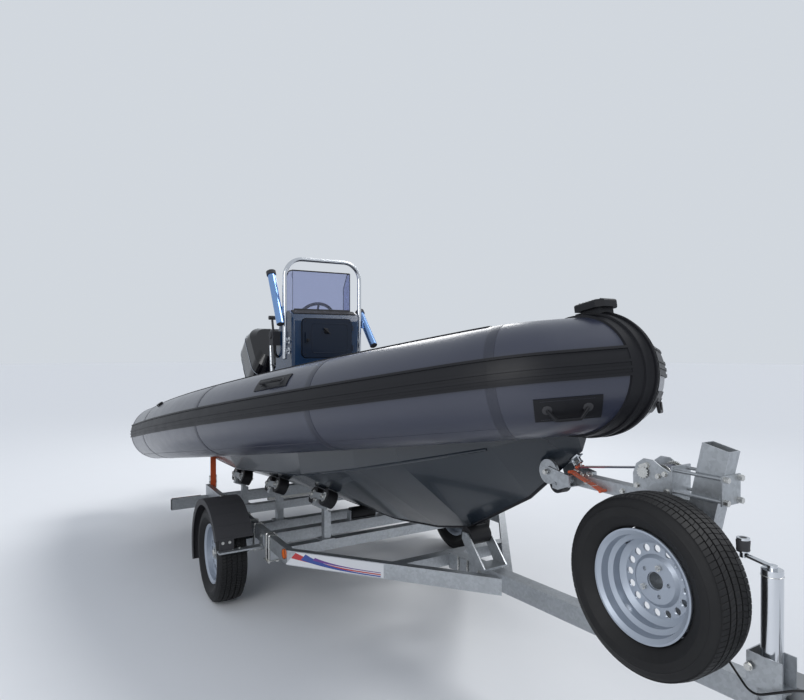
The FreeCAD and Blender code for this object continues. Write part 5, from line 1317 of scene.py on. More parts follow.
@dataclass
class OutboardDress:
    """Trim on the outboard, placed upright and then tipped."""

    steer_x: float = -2.142
    cowl_low: float = 1.17
    shaft_z: float = 0.245
    plate_z: float = 0.425

    @property
    def centre(self) -> float:
        """The cowl's middle along the boat."""
        return self.steer_x - 0.2

    @property
    def leg(self) -> float:
        """The leg's leading edge."""
        return self.steer_x - 0.044

    def outline(self, z: float, length: float, half: float, shift: float, corner: float,
            steps: int = 7) -> list[Point]:
        """A level line round the cowl."""
        return [(self.centre + shift + a, b, z) for a, b in rounded_loop(length / 2, half, corner, steps)]

    def finish(self, shape: Shape, finish: Finish, body: str = "engine", smooth: float = 35.0) -> None:
        """Tilts a shape and makes it a piece."""
        shape.move(about(TILT_PIVOT, TILT_REST))
        shape.piece(finish, body, smooth)

    def cowl_trim(self) -> None:
        """Adds the rubber seal, the pale lines that are painted highlights on the cowl, and the rear air
        intake.
        """
        seal, line, vents = Shape("cowl_seal"), Shape("cowl_painted_highlight_lines"), Shape("cowl_air_intake")
        seal.hose(self.outline(self.cowl_low - 0.001, 0.497, 0.1645, 0, 0.107), 0.0065, 10, loop=True)
        self.finish(seal, MOULDED_BLACK)
        # Pale rings round the glossy black cowl: painted highlights along its edges.
        loop = self.outline(1.427, 0.5572, 0.1886, -0.006, 0.128, 9)
        line.hose(loop, 0.0024, 8, loop=True)
        lower = self.outline(1.244, 0.5572, 0.1886, 0, 0.128, 9)
        line.hose(lower, 0.0018, 8, loop=True)
        self.finish(line, PALE_HUB_AND_PAINTED_HIGHLIGHT)
        rear = self.centre - 0.018 - 0.245
        for k in range(6):
            z = 1.452 + 0.012 * k
            x = rear - 0.026 + 0.0058 * k
            vents.block((x - 0.006, -0.088 + 0.004 * k, z), (x + 0.018, 0.088 - 0.004 * k, z + 0.0055),
                0.0015)
        self.finish(vents, BLACK_PLASTIC)

    def latches(self) -> None:
        """Adds the cowl's front and rear latches."""
        shape = Shape("cowl_latches")
        for x in (self.centre + 0.2505, self.centre - 0.2505):
            out = 1 if x > self.centre else -1
            shape.block((min(x, x + out * 0.016), -0.03, self.cowl_low - 0.03),
                (max(x, x + out * 0.016), 0.03, self.cowl_low + 0.016), 0.004)
        self.finish(shape, BLACK_PLASTIC)

    def lower_cover_lines(self) -> None:
        """Runs the parting line and screws of the lower cover."""
        line, screws = Shape("lower_cover_line"), Shape("lower_cover_screws")
        for side in (-1, 1):
            for x, z in ((self.centre - 0.16, 1.12), (self.centre, 1.12), (self.centre + 0.16, 1.12)):
                share = (z - 1.05) / 0.1
                half = 0.128 + (0.16 - 0.128) * share
                screws.dome((x, side * (half - 0.0008), z), (0, side, -0.32), 0.008, 0.004, 18)
        self.finish(screws, BRIGHT_ZINC)
        line.hose(self.outline(1.05, 0.3315, 0.1285, -0.038, 0.084), 0.0022, 8, loop=True)
        self.finish(line, MOULDED_BLACK)

    def lower_unit(self) -> None:
        """Adds the anode, trim tab, water intakes and the leg's bolts."""
        anode, intake, bolts = Shape("leg_anodes"), Shape("water_intakes"), Shape("leg_bolts")
        anode.block((self.leg - 0.262, -0.02, self.plate_z - 0.0205),
            (self.leg - 0.19, 0.02, self.plate_z - 0.0082), 0.004)
        top, low = self.plate_z - 0.008, self.plate_z - 0.026
        anode.slab([(self.leg - 0.262, top), (self.leg - 0.222, top), (self.leg - 0.232, low),
            (self.leg - 0.252, low)], "Y", -0.006, 0.006)
        self.finish(anode, BRIGHT_ZINC)
        for side in (-1, 1):
            for k in range(5):
                z = self.shaft_z + 0.058 + 0.011 * k
                intake.block((self.leg - 0.086, min(side * 0.015, side * 0.0182), z),
                    (self.leg - 0.05, max(side * 0.015, side * 0.0182), z + 0.005), 0.0008)
            for x, z in ((self.leg - 0.05, 0.47), (self.leg - 0.13, 0.47)):
                bolts.bolt((x, side * 0.033, z), (0, side, 0), 0.01)
        self.finish(intake, MOULDED_BLACK)
        self.finish(bolts, BRIGHT_ZINC)

    def propeller_nut(self) -> None:
        """Adds the propeller's castle nut, washer and pin."""
        shape = Shape("propeller_nut")
        tail = self.leg - 0.232 - 0.1123
        shape.rod((tail + 0.003, 0, self.shaft_z), (tail - 0.001, 0, self.shaft_z), 0.0175, segments=32)
        shape.rod((tail - 0.001, 0, self.shaft_z), (tail - 0.013, 0, self.shaft_z), 0.0138, segments=6)
        shape.dome((tail - 0.013, 0, self.shaft_z), (-1, 0, 0), 0.008, 0.006)
        shape.rod((tail - 0.009, -0.015, self.shaft_z), (tail - 0.009, 0.015, self.shaft_z), 0.0014,
            segments=8)
        self.finish(shape, BRIGHT_ZINC, "propeller")

    def clamp_bolts(self) -> None:
        """Adds the bolts through the transom and the tilt tube's nuts."""
        shape = Shape("clamp_bolts")
        for side in (-1, 1):
            shape.rod((TILT_PIVOT[0], side * 0.0842, TILT_PIVOT[2]),
                (TILT_PIVOT[0], side * 0.096, TILT_PIVOT[2]), 0.0165, segments=6)
            for z in (0.74, 0.8):
                shape.bolt((-1.9498, side * 0.12, z), (1, 0, 0), 0.012)
                shape.bolt((-2.0002, side * 0.12, z), (-1, 0, 0), 0.012)
        shape.piece(BRIGHT_ZINC)

    def build(self) -> None:
        """Builds all of the outboard's trim."""
        self.cowl_trim()
        self.latches()
        self.lower_cover_lines()
        self.lower_unit()
        self.propeller_nut()
        self.clamp_bolts()


@dataclass
class WheelDress:
    """Bolts, grease cap and valve of one road wheel."""

    side: int
    body: str
    centre_z: float = WHEEL_HEIGHT
    face: float = 0.956
    circle: float = 0.05

    def build(self) -> None:
        """Builds the wheel's small parts."""
        shape, cap, valve = (Shape(self.body + part) for part in ("_bolts", "_grease_cap", "_valve"))
        out = (0, self.side, 0)
        for k in range(5):
            a = radians(90 + 72 * k)
            x, z = self.circle * cos(a), self.centre_z + self.circle * sin(a)
            seat = self.side * (self.face + 0.0003)
            shape.rod((x, seat, z), (x, seat + self.side * 0.004, z), 0.012, 0.0098, segments=20)
            shape.rod((x, seat + self.side * 0.004, z), (x, seat + self.side * 0.015, z), 0.0098, 0.0092,
                segments=6)
        shape.piece(BRIGHT_ZINC, self.body)
        cap.turned([(0, 0), (0, 0.0285), (0.01, 0.028), (0.011, 0.0262), (0.02, 0.0245), (0.0235, 0.018),
            (0.0245, 0)], (0, self.side * (self.face + 0.0105), self.centre_z), out, 36)
        cap.piece(BRIGHT_ZINC, self.body)
        inner = (0.148 * cos(0.5), self.side * 0.952, self.centre_z + 0.148 * sin(0.5))
        outer = (0.142 * cos(0.5), self.side * 0.982, self.centre_z + 0.142 * sin(0.5))
        valve.rod(inner, outer, 0.0052, 0.0042, segments=14)
        valve.piece(MOULDED_BLACK, self.body)


@dataclass
class FrameDress:
    """Clamps, bolts, stripes and lamps on the trailer's frame."""

    member_y: float = 0.75
    member_half: float = 0.02
    top: float = 0.482
    crosses: tuple[float, ...] = (-0.63, -0.118, 0.42)

    def u_bolts(self) -> None:
        """Clamps the side members to what crosses under them."""
        shape = Shape("frame_u_bolts")
        rows = [(x, 0.342, 0.024) for x in self.crosses] + [(0.12, 0.332, 0.044)]
        for middle, low, reach in rows:
            for x in (middle - reach, middle + reach):
                outer = self.member_y + self.member_half + 0.0055
                inner = 2 * self.member_y - outer
                bend = ((0, low - 0.016), (0, self.top - 0.002), (0.004, self.top + 0.004),
                    (0.01, self.top + 0.0055))
                route = [(x, outer - y, z) for y, z in bend] + [(x, inner + y, z) for y, z in bend[::-1]]
                shape.hose(route, 0.0048, 10)
                for y in (inner, outer):
                    shape.rod((x, y, low - 0.0045), (x, y, low - 0.012), 0.0092, segments=6)
            shape.block((middle - reach - 0.014, self.member_y - 0.04, low - 0.0045),
                (middle + reach + 0.014, self.member_y + 0.04, low - 0.0005), 0.001)
        shape.both_sides()
        shape.piece(BRIGHT_ZINC)

    def stay_bolts(self) -> None:
        """Bolts the mudguards to their stays."""
        shape = Shape("mudguard_bolts")
        for y in (0.965, 1.005):
            shape.bolt((0.299, y, 0.44), (1, 0, 0), 0.008)
            shape.bolt((0.292, y - 0.06, 0.3938), (0, 0, 1), 0.008)
        shape.bolt((-0.319, 0.8, 0.4141), (0, 0, 1), 0.008)
        for z in (0.392, 0.45):
            shape.bolt((0.304, 0.7781, z), (0, 1, 0), 0.008)
        shape.both_sides()
        shape.piece(BRIGHT_ZINC)

    def round_wheel(self, share: float, y: float, radius: float) -> Point:
        """A point on an arc over the wheel, from the mudguard's front at 0 to its rear at 1."""
        a = radians(29 + (201 - 29) * share)
        return (radius * cos(a), y, WHEEL_HEIGHT + radius * sin(a))

    def guard_beads(self) -> None:
        """Rolls the edges of the mudguards."""
        shape = Shape("mudguard_beads")
        for y, radius in ((1.0435, 0.3075), (0.8275, 0.3405)):
            shape.hose([self.round_wheel(k / 32, y, radius) for k in range(33)], 0.0034, 8)
        for k in range(1, 12):
            shape.hose([self.round_wheel(k / 12, y, 0.3432) for y in (0.842, 1.03)], 0.0012, 6)
        shape.both_sides()
        shape.piece(BLACK_PLASTIC, ROOT, 50)

    def stripes(self) -> None:
        """Lays the plain colour bands on the bent part of the side members."""
        start, end = Vector((0.745, 0.7556, 0)), Vector((1.17, 0.4156, 0))
        out, steps, lean = Vector((0.6247, 0.7809, 0)), 14, 0.9
        rows = (
            ("stripe_white", STRIPE_WHITE, 0, 1.0, 0.442, 0.442, 0.072, 0.072, 0.0004),
            ("stripe_red", STRIPE_RED, 0.03, 0.97, 0.459, 0.4215, 0.032, 0.0055, 0.0009),
            ("stripe_blue", STRIPE_BLUE, 0.14, 0.97, 0.457, 0.412, 0.034, 0.006, 0.001),
            ("stripe_purple", STRIPE_PURPLE, 0.26, 0.97, 0.454, 0.431, 0.016, 0.0035, 0.0011),
        )
        length = (end - start).length
        for name, finish, first, last, from_z, to_z, from_width, to_width, lift in rows:
            shape = Shape(name)
            edges: list[list[Vector]] = [[], []]
            for k in range(steps + 1):
                share = (1 - k / steps) ** 3
                middle, width = to_z + (from_z - to_z) * share, to_width + (from_width - to_width) * share
                for side, edge in zip((-0.5, 0.5), edges):
                    spot = start.lerp(end,
                        first + (last - first) * k / steps + side * width * lean * share / length)
                    edge.append(Vector((spot.x, spot.y, middle + side * width)) + out * 0.0001)
            face = shape.mesh.faces.new([shape.mesh.verts.new(p) for p in edges[0] + edges[1][::-1]])
            new = bmesh.ops.extrude_face_region(shape.mesh, geom=[face])["geom"]
            bmesh.ops.translate(shape.mesh, vec=out * lift, verts=only_verts(new))
            shape.both_sides()
            shape.piece(finish)

    def lamps(self) -> None:
        """Divides the rear lamps into their lenses and gives them a housing."""
        names = ("lamp_housings", "red_lenses", "white_lenses", "reflector_rims")
        housing, red, white, trim = (Shape(name) for name in names)
        rear, low, high = -1.142, 0.318, 0.398
        housing.slab([(0.8085, low - 0.0015), (1.0315, low - 0.0015), (1.0315, high + 0.0015),
            (0.8085, high + 0.0015)], "X", rear + 0.014, -1.1005)
        red.block((rear - 0.003, 0.89, low + 0.004), (rear + 0.012, 0.972, high - 0.004), 0.003)
        white.block((rear - 0.003, 0.976, low + 0.004), (rear + 0.012, 1.026, high - 0.004), 0.003)
        trim.ring((0.688, 0.7762, 0.452), (0, 1, 0), 0.0275, 0.0016, 36, 8)
        for shape, finish in ((housing, BLACK_PLASTIC), (red, RED_LENS), (white, WHITE_LENS),
                (trim, BLACK_PLASTIC)):
            shape.both_sides()
            shape.piece(finish)
        frame_trim = Shape("plate_frame")
        loop = rounded_loop(0.262, 0.057, 0.006, 3)
        frame_trim.hose([(-1.1065, y, 0.347 + z) for y, z in loop], 0.0036, 8, loop=True)
        frame_trim.piece(BLACK_PLASTIC)

    def beam_plugs(self) -> None:
        """Closes the open ends of the frame's tubes."""
        shape = Shape("tube_end_plugs")
        shape.block((-1.0995, 1.0402, 0.3225), (-1.0605, 1.044, 0.4015), 0.001)
        for x in self.crosses:
            shape.block((x - 0.0295, 0.7702, 0.3425), (x + 0.0295, 0.774, 0.4015), 0.001)
        shape.block((-1.124, 0.7305, 0.4025), (-1.1202, 0.7695, 0.4815), 0.001)
        shape.both_sides()
        shape.piece(BLACK_PLASTIC)

    def drawbar_top(self, x: float) -> float:
        """The height of the drawbar's top."""
        return 0.442 + 0.041 + (x - DRAWBAR_START) * DRAWBAR_SLOPE

    def drawbar_bolts(self) -> None:
        """Bolts the side members' tips and the coupling to the drawbar."""
        shape = Shape("drawbar_bolts")
        for x in (1.48, 1.56):
            z = self.drawbar_top(x) - 0.04
            shape.bolt((x - 0.01, -0.0362, z), (0, -1, 0), 0.012)
            shape.bolt((x - 0.01, 0.0362, z), (0, 1, 0), 0.012)
        for x in (2.935, 3.0):
            z = self.drawbar_top(x) + 0.022
            for side in (-1, 1):
                shape.bolt((x, side * 0.0482, z), (0, side, 0), 0.012)
        for x in (2.476, 2.604):
            for y in (-0.042, 0.042):
                shape.bolt((x, y, self.drawbar_top(x) + 0.009), (0, 0, 1), 0.01)
        for side in (-1, 1):
            for x in (1.3, 1.38):
                shape.hose([(x, side * 0.0408, self.drawbar_top(x) - 0.086),
                    (x, side * 0.0408, self.drawbar_top(x) + 0.002)], 0.0048, 10)
        shape.piece(BRIGHT_ZINC)

    def build(self) -> None:
        """Builds all of the frame's fittings."""
        self.u_bolts()
        self.stay_bolts()
        self.guard_beads()
        self.stripes()
        self.lamps()
        self.beam_plugs()
        self.drawbar_bolts()


@dataclass
class SupportDress:
    """End discs and nuts on the hull rollers and their rockers."""

    hull: HullDress
    rows: tuple[tuple[float, float], ...] = ((-0.63, 0.6), (-0.118, 0.512), (0.42, 0.402))
    reach: float = 0.084
    radius: float = 0.052

    def build(self) -> None:
        """Builds the discs and nuts of each rocker."""
        discs, nuts = Shape("roller_end_discs"), Shape("rocker_nuts")
        for x, y in self.rows:
            share = y / self.chine(x)
            spot = Vector(self.hull.surface(x, share))
            ahead, behind = (self.hull.surface(at, y / self.chine(at))[2]
                for at in (x + self.reach, x - self.reach))
            pitch = atan((ahead - behind) / (2 * self.reach))
            keel = Vector(self.hull.surface(x, 0))
            dead = atan2(spot.z - keel.z, y)
            seat = Matrix.Translation(spot - Vector((0, 0, 0.0014))) @ Matrix.Rotation(-pitch, 4,
                "Y") @ Matrix.Rotation(dead, 4, "X")
            parts = ((discs, 0.0341, 0.0358, 0.03, 32), (nuts, 0.0442, 0.0462, 0.015, 24),
                (nuts, 0.0462, 0.054, 0.0122, 6))
            for s in (-1, 1):
                for side in (-1, 1):
                    for thing, start, stop, size, sides in parts:
                        first = seat @ Vector((s * self.reach, side * start, -self.radius))
                        last = seat @ Vector((s * self.reach, side * stop, -self.radius))
                        thing.rod(first, last, size, segments=sides)
            for side in (-1, 1):
                first = seat @ Vector((0, side * 0.0442, -self.radius - 0.03))
                last = seat @ Vector((0, side * 0.053, -self.radius - 0.03))
                nuts.rod(first, last, 0.0125, segments=6)
        for shape in (discs, nuts):
            shape.both_sides()
            shape.piece(BRIGHT_ZINC)

    def chine(self, x: float) -> float:
        """The hull's half width at the chine."""
        return self.hull.surface(x, 1.0)[1]


@dataclass
class WinchDress:
    """The winch's gear, strap, hook and chain, and the arm's bolts."""

    x: float = 2.478
    arm_top: float = 1.067
    half: float = 0.052
    hook: tuple[float, float] = (2.0957, 1.0919)

    @property
    def drum(self) -> tuple[float, float]:
        """The drum's middle, along and up."""
        return (self.x + 0.026, self.arm_top + 0.066)

    def gears(self) -> None:
        """Adds the large gear, its pinion and the pawl."""
        shape, drum = Shape("winch_gears"), Shape("winch_drum_flanges")
        x, z = self.drum
        shape.gear((x, 0.0385, z), (0, 1, 0), 0.046, 0.0045, 0.006, 40)
        shape.gear((self.x - 0.034, 0.038, z + 0.006), (0, 1, 0), 0.0155, 0.0035, 0.007, 12)
        shape.slab([(self.x - 0.052, z + 0.028), (self.x - 0.026, z + 0.04), (self.x - 0.02, z + 0.034),
            (self.x - 0.044, z + 0.018)], "Y", -0.0615, -0.0562)
        shape.gear((self.x - 0.034, -0.0605, z + 0.006), (0, 1, 0), 0.024, 0.0045, 0.0045, 14)
        shape.piece(BRIGHT_ZINC)
        for y in (-0.03, 0.026):
            drum.turned([(0, 0.024), (0, 0.04), (0.003, 0.04), (0.003, 0.024)], (x, y, z), (0, 1, 0), 40,
                closed=True)
        drum.piece(BRIGHT_ZINC)

    def strap(self) -> None:
        """Winds the strap on its drum and runs it to the bow eye."""
        roll, stitches = Shape("winch_strap_roll"), Shape("winch_strap_stitches")
        x, z = self.drum
        profile = [(-0.0225, 0.0245), (-0.0225, 0.0352), (-0.0215, 0.036), (0.0215, 0.036), (0.0225, 0.0352),
            (0.0225, 0.0245)]
        roll.turned(profile, (x, 0, z), (0, 1, 0), 48, closed=True)
        roll.piece(NAVY_WEBBING)
        start, end = Vector((self.hook[0], 0, self.hook[1])), Vector((x, 0, z + 0.0266))
        way = (end - start).normalized()
        up = Vector((-way.z, 0, way.x))
        for name, first, last, half, thick, finish in (
            ("winch_strap", 0.03, 0.36, 0.0229, 0.0022, WINE_WEBBING),
            ("winch_strap_dark", 0.36, 0.995, 0.0226, 0.0019, NAVY_WEBBING),
        ):
            run = Shape(name)
            a, b = start.lerp(end, first), start.lerp(end, last)
            run.slab([tuple(p)[::2] for p in (a + up * thick, b + up * thick, b - up * thick,
                a - up * thick)], "Y", -half, half)
            run.piece(finish)
        for k in range(8):
            for y in (-0.014, 0.014):
                a = start.lerp(end, 0.1 + 0.02 * k) + up * 0.0023
                b = start.lerp(end, 0.112 + 0.02 * k) + up * 0.0023
                stitches.hose([(a.x, y, a.z), (b.x, y, b.z)], 0.0008, 5)
        stitches.piece(THREAD_PALE)

    def hook_and_chain(self) -> None:
        """Adds the snap hook at the bow eye and the safety chain."""
        hook, chain = Shape("strap_hook"), Shape("safety_chain")
        x, z = self.hook
        arc = [(x - 0.01 + 0.0165 * cos(radians(a)), 0, z + 0.006 + 0.0165 * sin(radians(a)))
            for a in range(-40, 221, 20)]
        hook.hose(arc, 0.0046, 10)
        hook.piece(BRIGHT_ZINC)
        links = 6
        for k in range(links):
            t = k / (links - 1)
            centre = Vector((2.104 + 0.07 * t, -0.03 + 0.004 * sin(3 * t),
                1.079 - 0.0115 * sin(pi * t) + 0.002 * (1 - t)))
            route = [(0.0105 * cos(a) * (1.35 if abs(cos(a)) > 0.5 else 1.15), 0.0068 * sin(a))
                for a in [2 * pi * j / 16 for j in range(16)]]
            flat = k % 2 == 0
            points = [(centre.x + u, centre.y + (v if flat else 0), centre.z + (0 if flat else v)) for u,
                v in route]
            chain.hose(points, 0.0021, 8, loop=True)
        chain.piece(BRIGHT_ZINC)

    def crank(self) -> None:
        """Adds the handle's grip, the plates' nuts and the arm's bolts."""
        grip, nuts = Shape("winch_grip"), Shape("winch_nuts")
        low = self.arm_top + 0.066 - 0.128
        grip.turned([(0, 0), (0, 0.014), (0.004, 0.0172), (0.02, 0.016), (0.06, 0.018), (0.076, 0.0172),
            (0.08, 0.014), (0.08, 0)], (self.x - 0.034, self.half + 0.0295, low), (0, 1, 0), 32)
        grip.piece(BLACK_PLASTIC)
        for side in (-1, 1):
            face = side * (self.half + 0.0002)
            for x, z in ((-0.062, 0.018), (0.06, 0.018), (-0.02, 0.098), (0.052, 0.078), (0.026, 0.066)):
                nuts.bolt((self.x + x, face, self.arm_top + z), (0, side, 0), 0.01)
            for x in (2.15, 2.33):
                nuts.bolt((x, side * 0.0252, 1.042), (0, side, 0), 0.01)
            nuts.bolt((1.99, side * 0.0912, 1.062), (0, side, 0), 0.012)
            for z in (self.arm_top + 0.022, self.arm_top + 0.096):
                for near, far in ((2.7465, 2.754), (2.7382, 2.746)):
                    nuts.rod((near, side * 0.04, z), (far, side * 0.04, z), 0.0105, segments=6)
        nuts.piece(BRIGHT_ZINC)

    def front_tie(self) -> None:
        """Adds the stitches and the buckle of the short front strap."""
        shape, buckle = Shape("front_tie_stitches"), Shape("front_tie_buckle")
        top, low = Vector((2.0917, -0.042, 1.0759)), Vector((2.25, -0.042, 1.028))
        for k in range(6):
            a, b = top.lerp(low, 0.2 + 0.05 * k), top.lerp(low, 0.23 + 0.05 * k)
            for y in (-0.01, 0.01):
                shape.hose([(p.x, p.y + y, p.z + 0.0018) for p in (a, b)], 0.0007, 5)
        shape.piece(THREAD_PALE)
        mid = top.lerp(low, 0.66)
        loop = [(mid.x + u * 0.014, mid.y + v * 0.019) for u, v in ((-1, -1), (1, -1), (1, 1), (-1, 1))]
        buckle.hose([(x, y, mid.z + 0.0005 - (x - mid.x) * 0.3) for x, y in loop], 0.0022, 8, loop=True)
        buckle.piece(BRIGHT_ZINC)

    def build(self) -> None:
        """Builds all of the winch's details."""
        self.gears()
        self.strap()
        self.hook_and_chain()
        self.crank()
        self.front_tie()


@dataclass
class RearTies:
    """Ratchets on the rear lashing straps."""

    x: float = -1.08
    y: float = 0.722
    low: float = 0.402

    def build(self) -> None:
        """Builds the ratchet and its spool on each side."""
        shape, spool = Shape("strap_ratchets"), Shape("ratchet_spools")
        for y in (self.y - 0.026, self.y + 0.026):
            shape.slab([(self.x - 0.022, self.low + 0.06), (self.x + 0.004, self.low + 0.052),
                (self.x + 0.006, self.low + 0.15), (self.x - 0.014, self.low + 0.158),
                (self.x - 0.03, self.low + 0.11)], "Y", y - 0.001, y + 0.001)
        x, z = self.x - 0.012, self.low + 0.1
        spool.rod((x, self.y - 0.03, z), (x, self.y + 0.03, z), 0.0075, segments=20)
        spool.rod((x, self.y - 0.03, z + 0.045), (x, self.y + 0.03, z + 0.045), 0.005, segments=16)
        rim = [(-0.02, 0.0076), (-0.02, 0.0125), (0.02, 0.0125), (0.02, 0.0076)]
        spool.turned(rim, (x, self.y, z), (0, 1, 0), 32, closed=True)
        for item in (shape, spool):
            item.both_sides()
            item.piece(BRIGHT_ZINC)


@dataclass
class SpareDress:
    """Nuts and valve of the spare wheel."""

    x: float = 2.588
    z: float = 0.816
    face: float = -0.175
    circle: float = 0.05

    def build(self) -> None:
        """Builds the spare wheel's small parts."""
        shape, valve = Shape("spare_wheel_nuts"), Shape("spare_wheel_valve")
        for k in (1, 3):
            a = 2 * pi * k / 5
            x, z = self.x + self.circle * cos(a), self.z + self.circle * sin(a)
            shape.rod((x, self.face - 0.0085, z), (x, self.face - 0.018, z), 0.0105, segments=6)
        shape.piece(BRIGHT_ZINC)
        inner = (self.x + 0.148 * cos(2.3), self.face - 0.004, self.z + 0.148 * sin(2.3))
        outer = (self.x + 0.142 * cos(2.3), self.face - 0.034, self.z + 0.142 * sin(2.3))
        valve.rod(inner, outer, 0.0052, 0.0042, segments=14)
        valve.piece(MOULDED_BLACK)


@dataclass
class JockeyDress:
    """Grips, bolts and rings of the jockey wheel."""

    x: float = 2.91
    y: float = -0.085
    tube_top: float = 0.925
    wheel_radius: float = 0.1

    def build(self) -> None:
        """Builds the jockey wheel's small parts."""
        knob, bolts, axle = Shape("jockey_knob"), Shape("jockey_clamp_bolts"), Shape("jockey_axle_nuts")
        knob.turned([(0, 0), (0, 0.0175), (0.004, 0.0198), (0.01, 0.0192), (0.032, 0.0205), (0.041, 0.0165),
            (0.0425, 0)], (self.x - 0.086, self.y, self.tube_top + 0.0425), (0, 0, 1), 32)
        knob.piece(BLACK_PLASTIC)
        bolts.bolt((self.x - 0.0385, self.y - 0.0542, 0.65), (0, -1, 0), 0.012)
        bolts.bolt((self.x - 0.0385, self.y + 0.0422, 0.65), (0, 1, 0), 0.012)
        for z in (0.5, 0.538):
            bolts.bolt((self.x + 0.0442, self.y + 0.03, z), (1, 0, 0), 0.01)
            bolts.bolt((self.x - 0.0442, self.y + 0.03, z), (-1, 0, 0), 0.01)
        bolts.ring((self.x, self.y, self.tube_top - 0.004), (0, 0, 1), 0.0302, 0.0014, 36, 8)
        bolts.piece(BRIGHT_ZINC)
        x, z = self.x - 0.045, self.wheel_radius
        for side in (-1, 1):
            axle.rod((x, self.y + side * 0.0482, z), (x, self.y + side * 0.056, z), 0.0125, segments=6)
        axle.piece(BRIGHT_ZINC, "jockey_fork")
        hub = Shape("jockey_hub")
        for side in (-1, 1):
            hub.turned([(0, 0.0095), (0, 0.055), (0.0012, 0.0545), (0.002, 0.036), (0.0045, 0.03),
                (0.0045, 0.0095)], (x, self.y + side * 0.0295, z), (0, side, 0), 40, closed=True)
        hub.piece(PALE_HUB_AND_PAINTED_HIGHLIGHT, "jockey_wheel")


@dataclass
class CouplingDress:
    """Grips, bolts and clips of the coupling and the handbrake."""

    front: float = 3.04

    def lift(self, x: float) -> float:
        """How far the drawbar has risen."""
        return (x - DRAWBAR_START) * DRAWBAR_SLOPE

    def build(self) -> None:
        """Builds the coupling's small parts."""
        grip, bolts, clips = Shape("brake_grip"), Shape("coupling_bolts"), Shape("bellows_clips")
        axis = 0.442 + 0.006 + 0.016
        start = Vector((self.front + 0.244, 0.034, 0.483 + 0.1 + self.lift(self.front + 0.24)))
        way = Vector((self.front + 0.332, 0.034, 0.483 + 0.1135 + self.lift(self.front + 0.33))) - start
        grip.turned([(0, 0), (0, 0.015), (0.006, 0.0162), (0.02, 0.015), (0.045, 0.0165), (0.07, 0.0152),
            (0.088, 0.0165), (0.094, 0.01), (0.0945, 0)], start, way, 32)
        grip.piece(BLACK_PLASTIC)
        for side in (-1, 1):
            for x in (self.front + 0.2, self.front + 0.235):
                bolts.bolt((x, side * 0.0382, axis + self.lift(x)), (0, side, 0), 0.012)
            bolts.bolt((self.front + 0.048, side * 0.0482, axis + self.lift(self.front + 0.048)),
                (0, side, 0), 0.014)
        bolts.turned([(0, 0), (0, 0.006), (0.006, 0.006), (0.008, 0.0035), (0.012, 0.004), (0.013, 0)],
            (self.front + 0.06, 0, 0.483 + 0.044 + self.lift(self.front + 0.06)), (0, 0, 1), 16)
        bolts.piece(BRIGHT_ZINC)
        for x in (self.front + 0.101, self.front + 0.176):
            clips.ring((x, 0, axis + self.lift(x)), (1, 0, DRAWBAR_SLOPE), 0.0345, 0.0022, 40, 8)
        clips.piece(BRIGHT_ZINC)


@dataclass
class LightingCable:
    """The free cable from the winch post to its parked plug."""

    route: tuple[Point, ...] = (
        (2.604, -0.031, 0.7), (2.648, -0.09, 0.696), (2.744, -0.097, 0.664), (2.816, -0.104, 0.596),
        (2.888, -0.15, 0.574), (2.952, -0.148, 0.612), (3.014, -0.126, 0.646), (3.076, -0.082, 0.641),
        (3.088, -0.072, 0.59))
    diameter: float = 0.007
    length: float = 0.6
    plug_axis: Point = (0.18, 0.14, -0.974)

    def build(self) -> None:
        """Draws the cable and the plug's ribs and strain relief."""
        curve = bpy.data.curves.new("lighting_cable_run", "CURVE")
        curve.dimensions = "3D"
        curve.bevel_depth = self.diameter / 2
        curve.bevel_resolution = 4
        curve.resolution_u = 16
        curve.use_fill_caps = True
        spline = curve.splines.new("NURBS")
        spline.points.add(len(self.route) - 1)
        for point, place in zip(spline.points, self.route):
            point.co = (*place, 1.0)
        spline.order_u = 3
        spline.use_endpoint_u = True
        cable = in_scene("lighting_cable_run", curve)
        curve.materials.append(CABLE_BLACK.build())
        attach(cable, ROOT)
        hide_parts("lighting_cable")
        ribs = Shape("plug_ribs")
        top, way = Vector(self.route[-1]), Vector(self.plug_axis)
        for k in range(5):
            ribs.ring(top + way * (0.006 + 0.004 * k), way, 0.012, 0.0011, 28, 6)
        ribs.turned([(0, 0.0036), (0, 0.0076), (0.014, 0.0088), (0.0142, 0.0036)], top - way * 0.0141, way,
            24, closed=True)
        plug_ribs = ribs.piece(BLACK_PLASTIC)
        LOG.info("piece %s on %s", cable.name, ROOT)


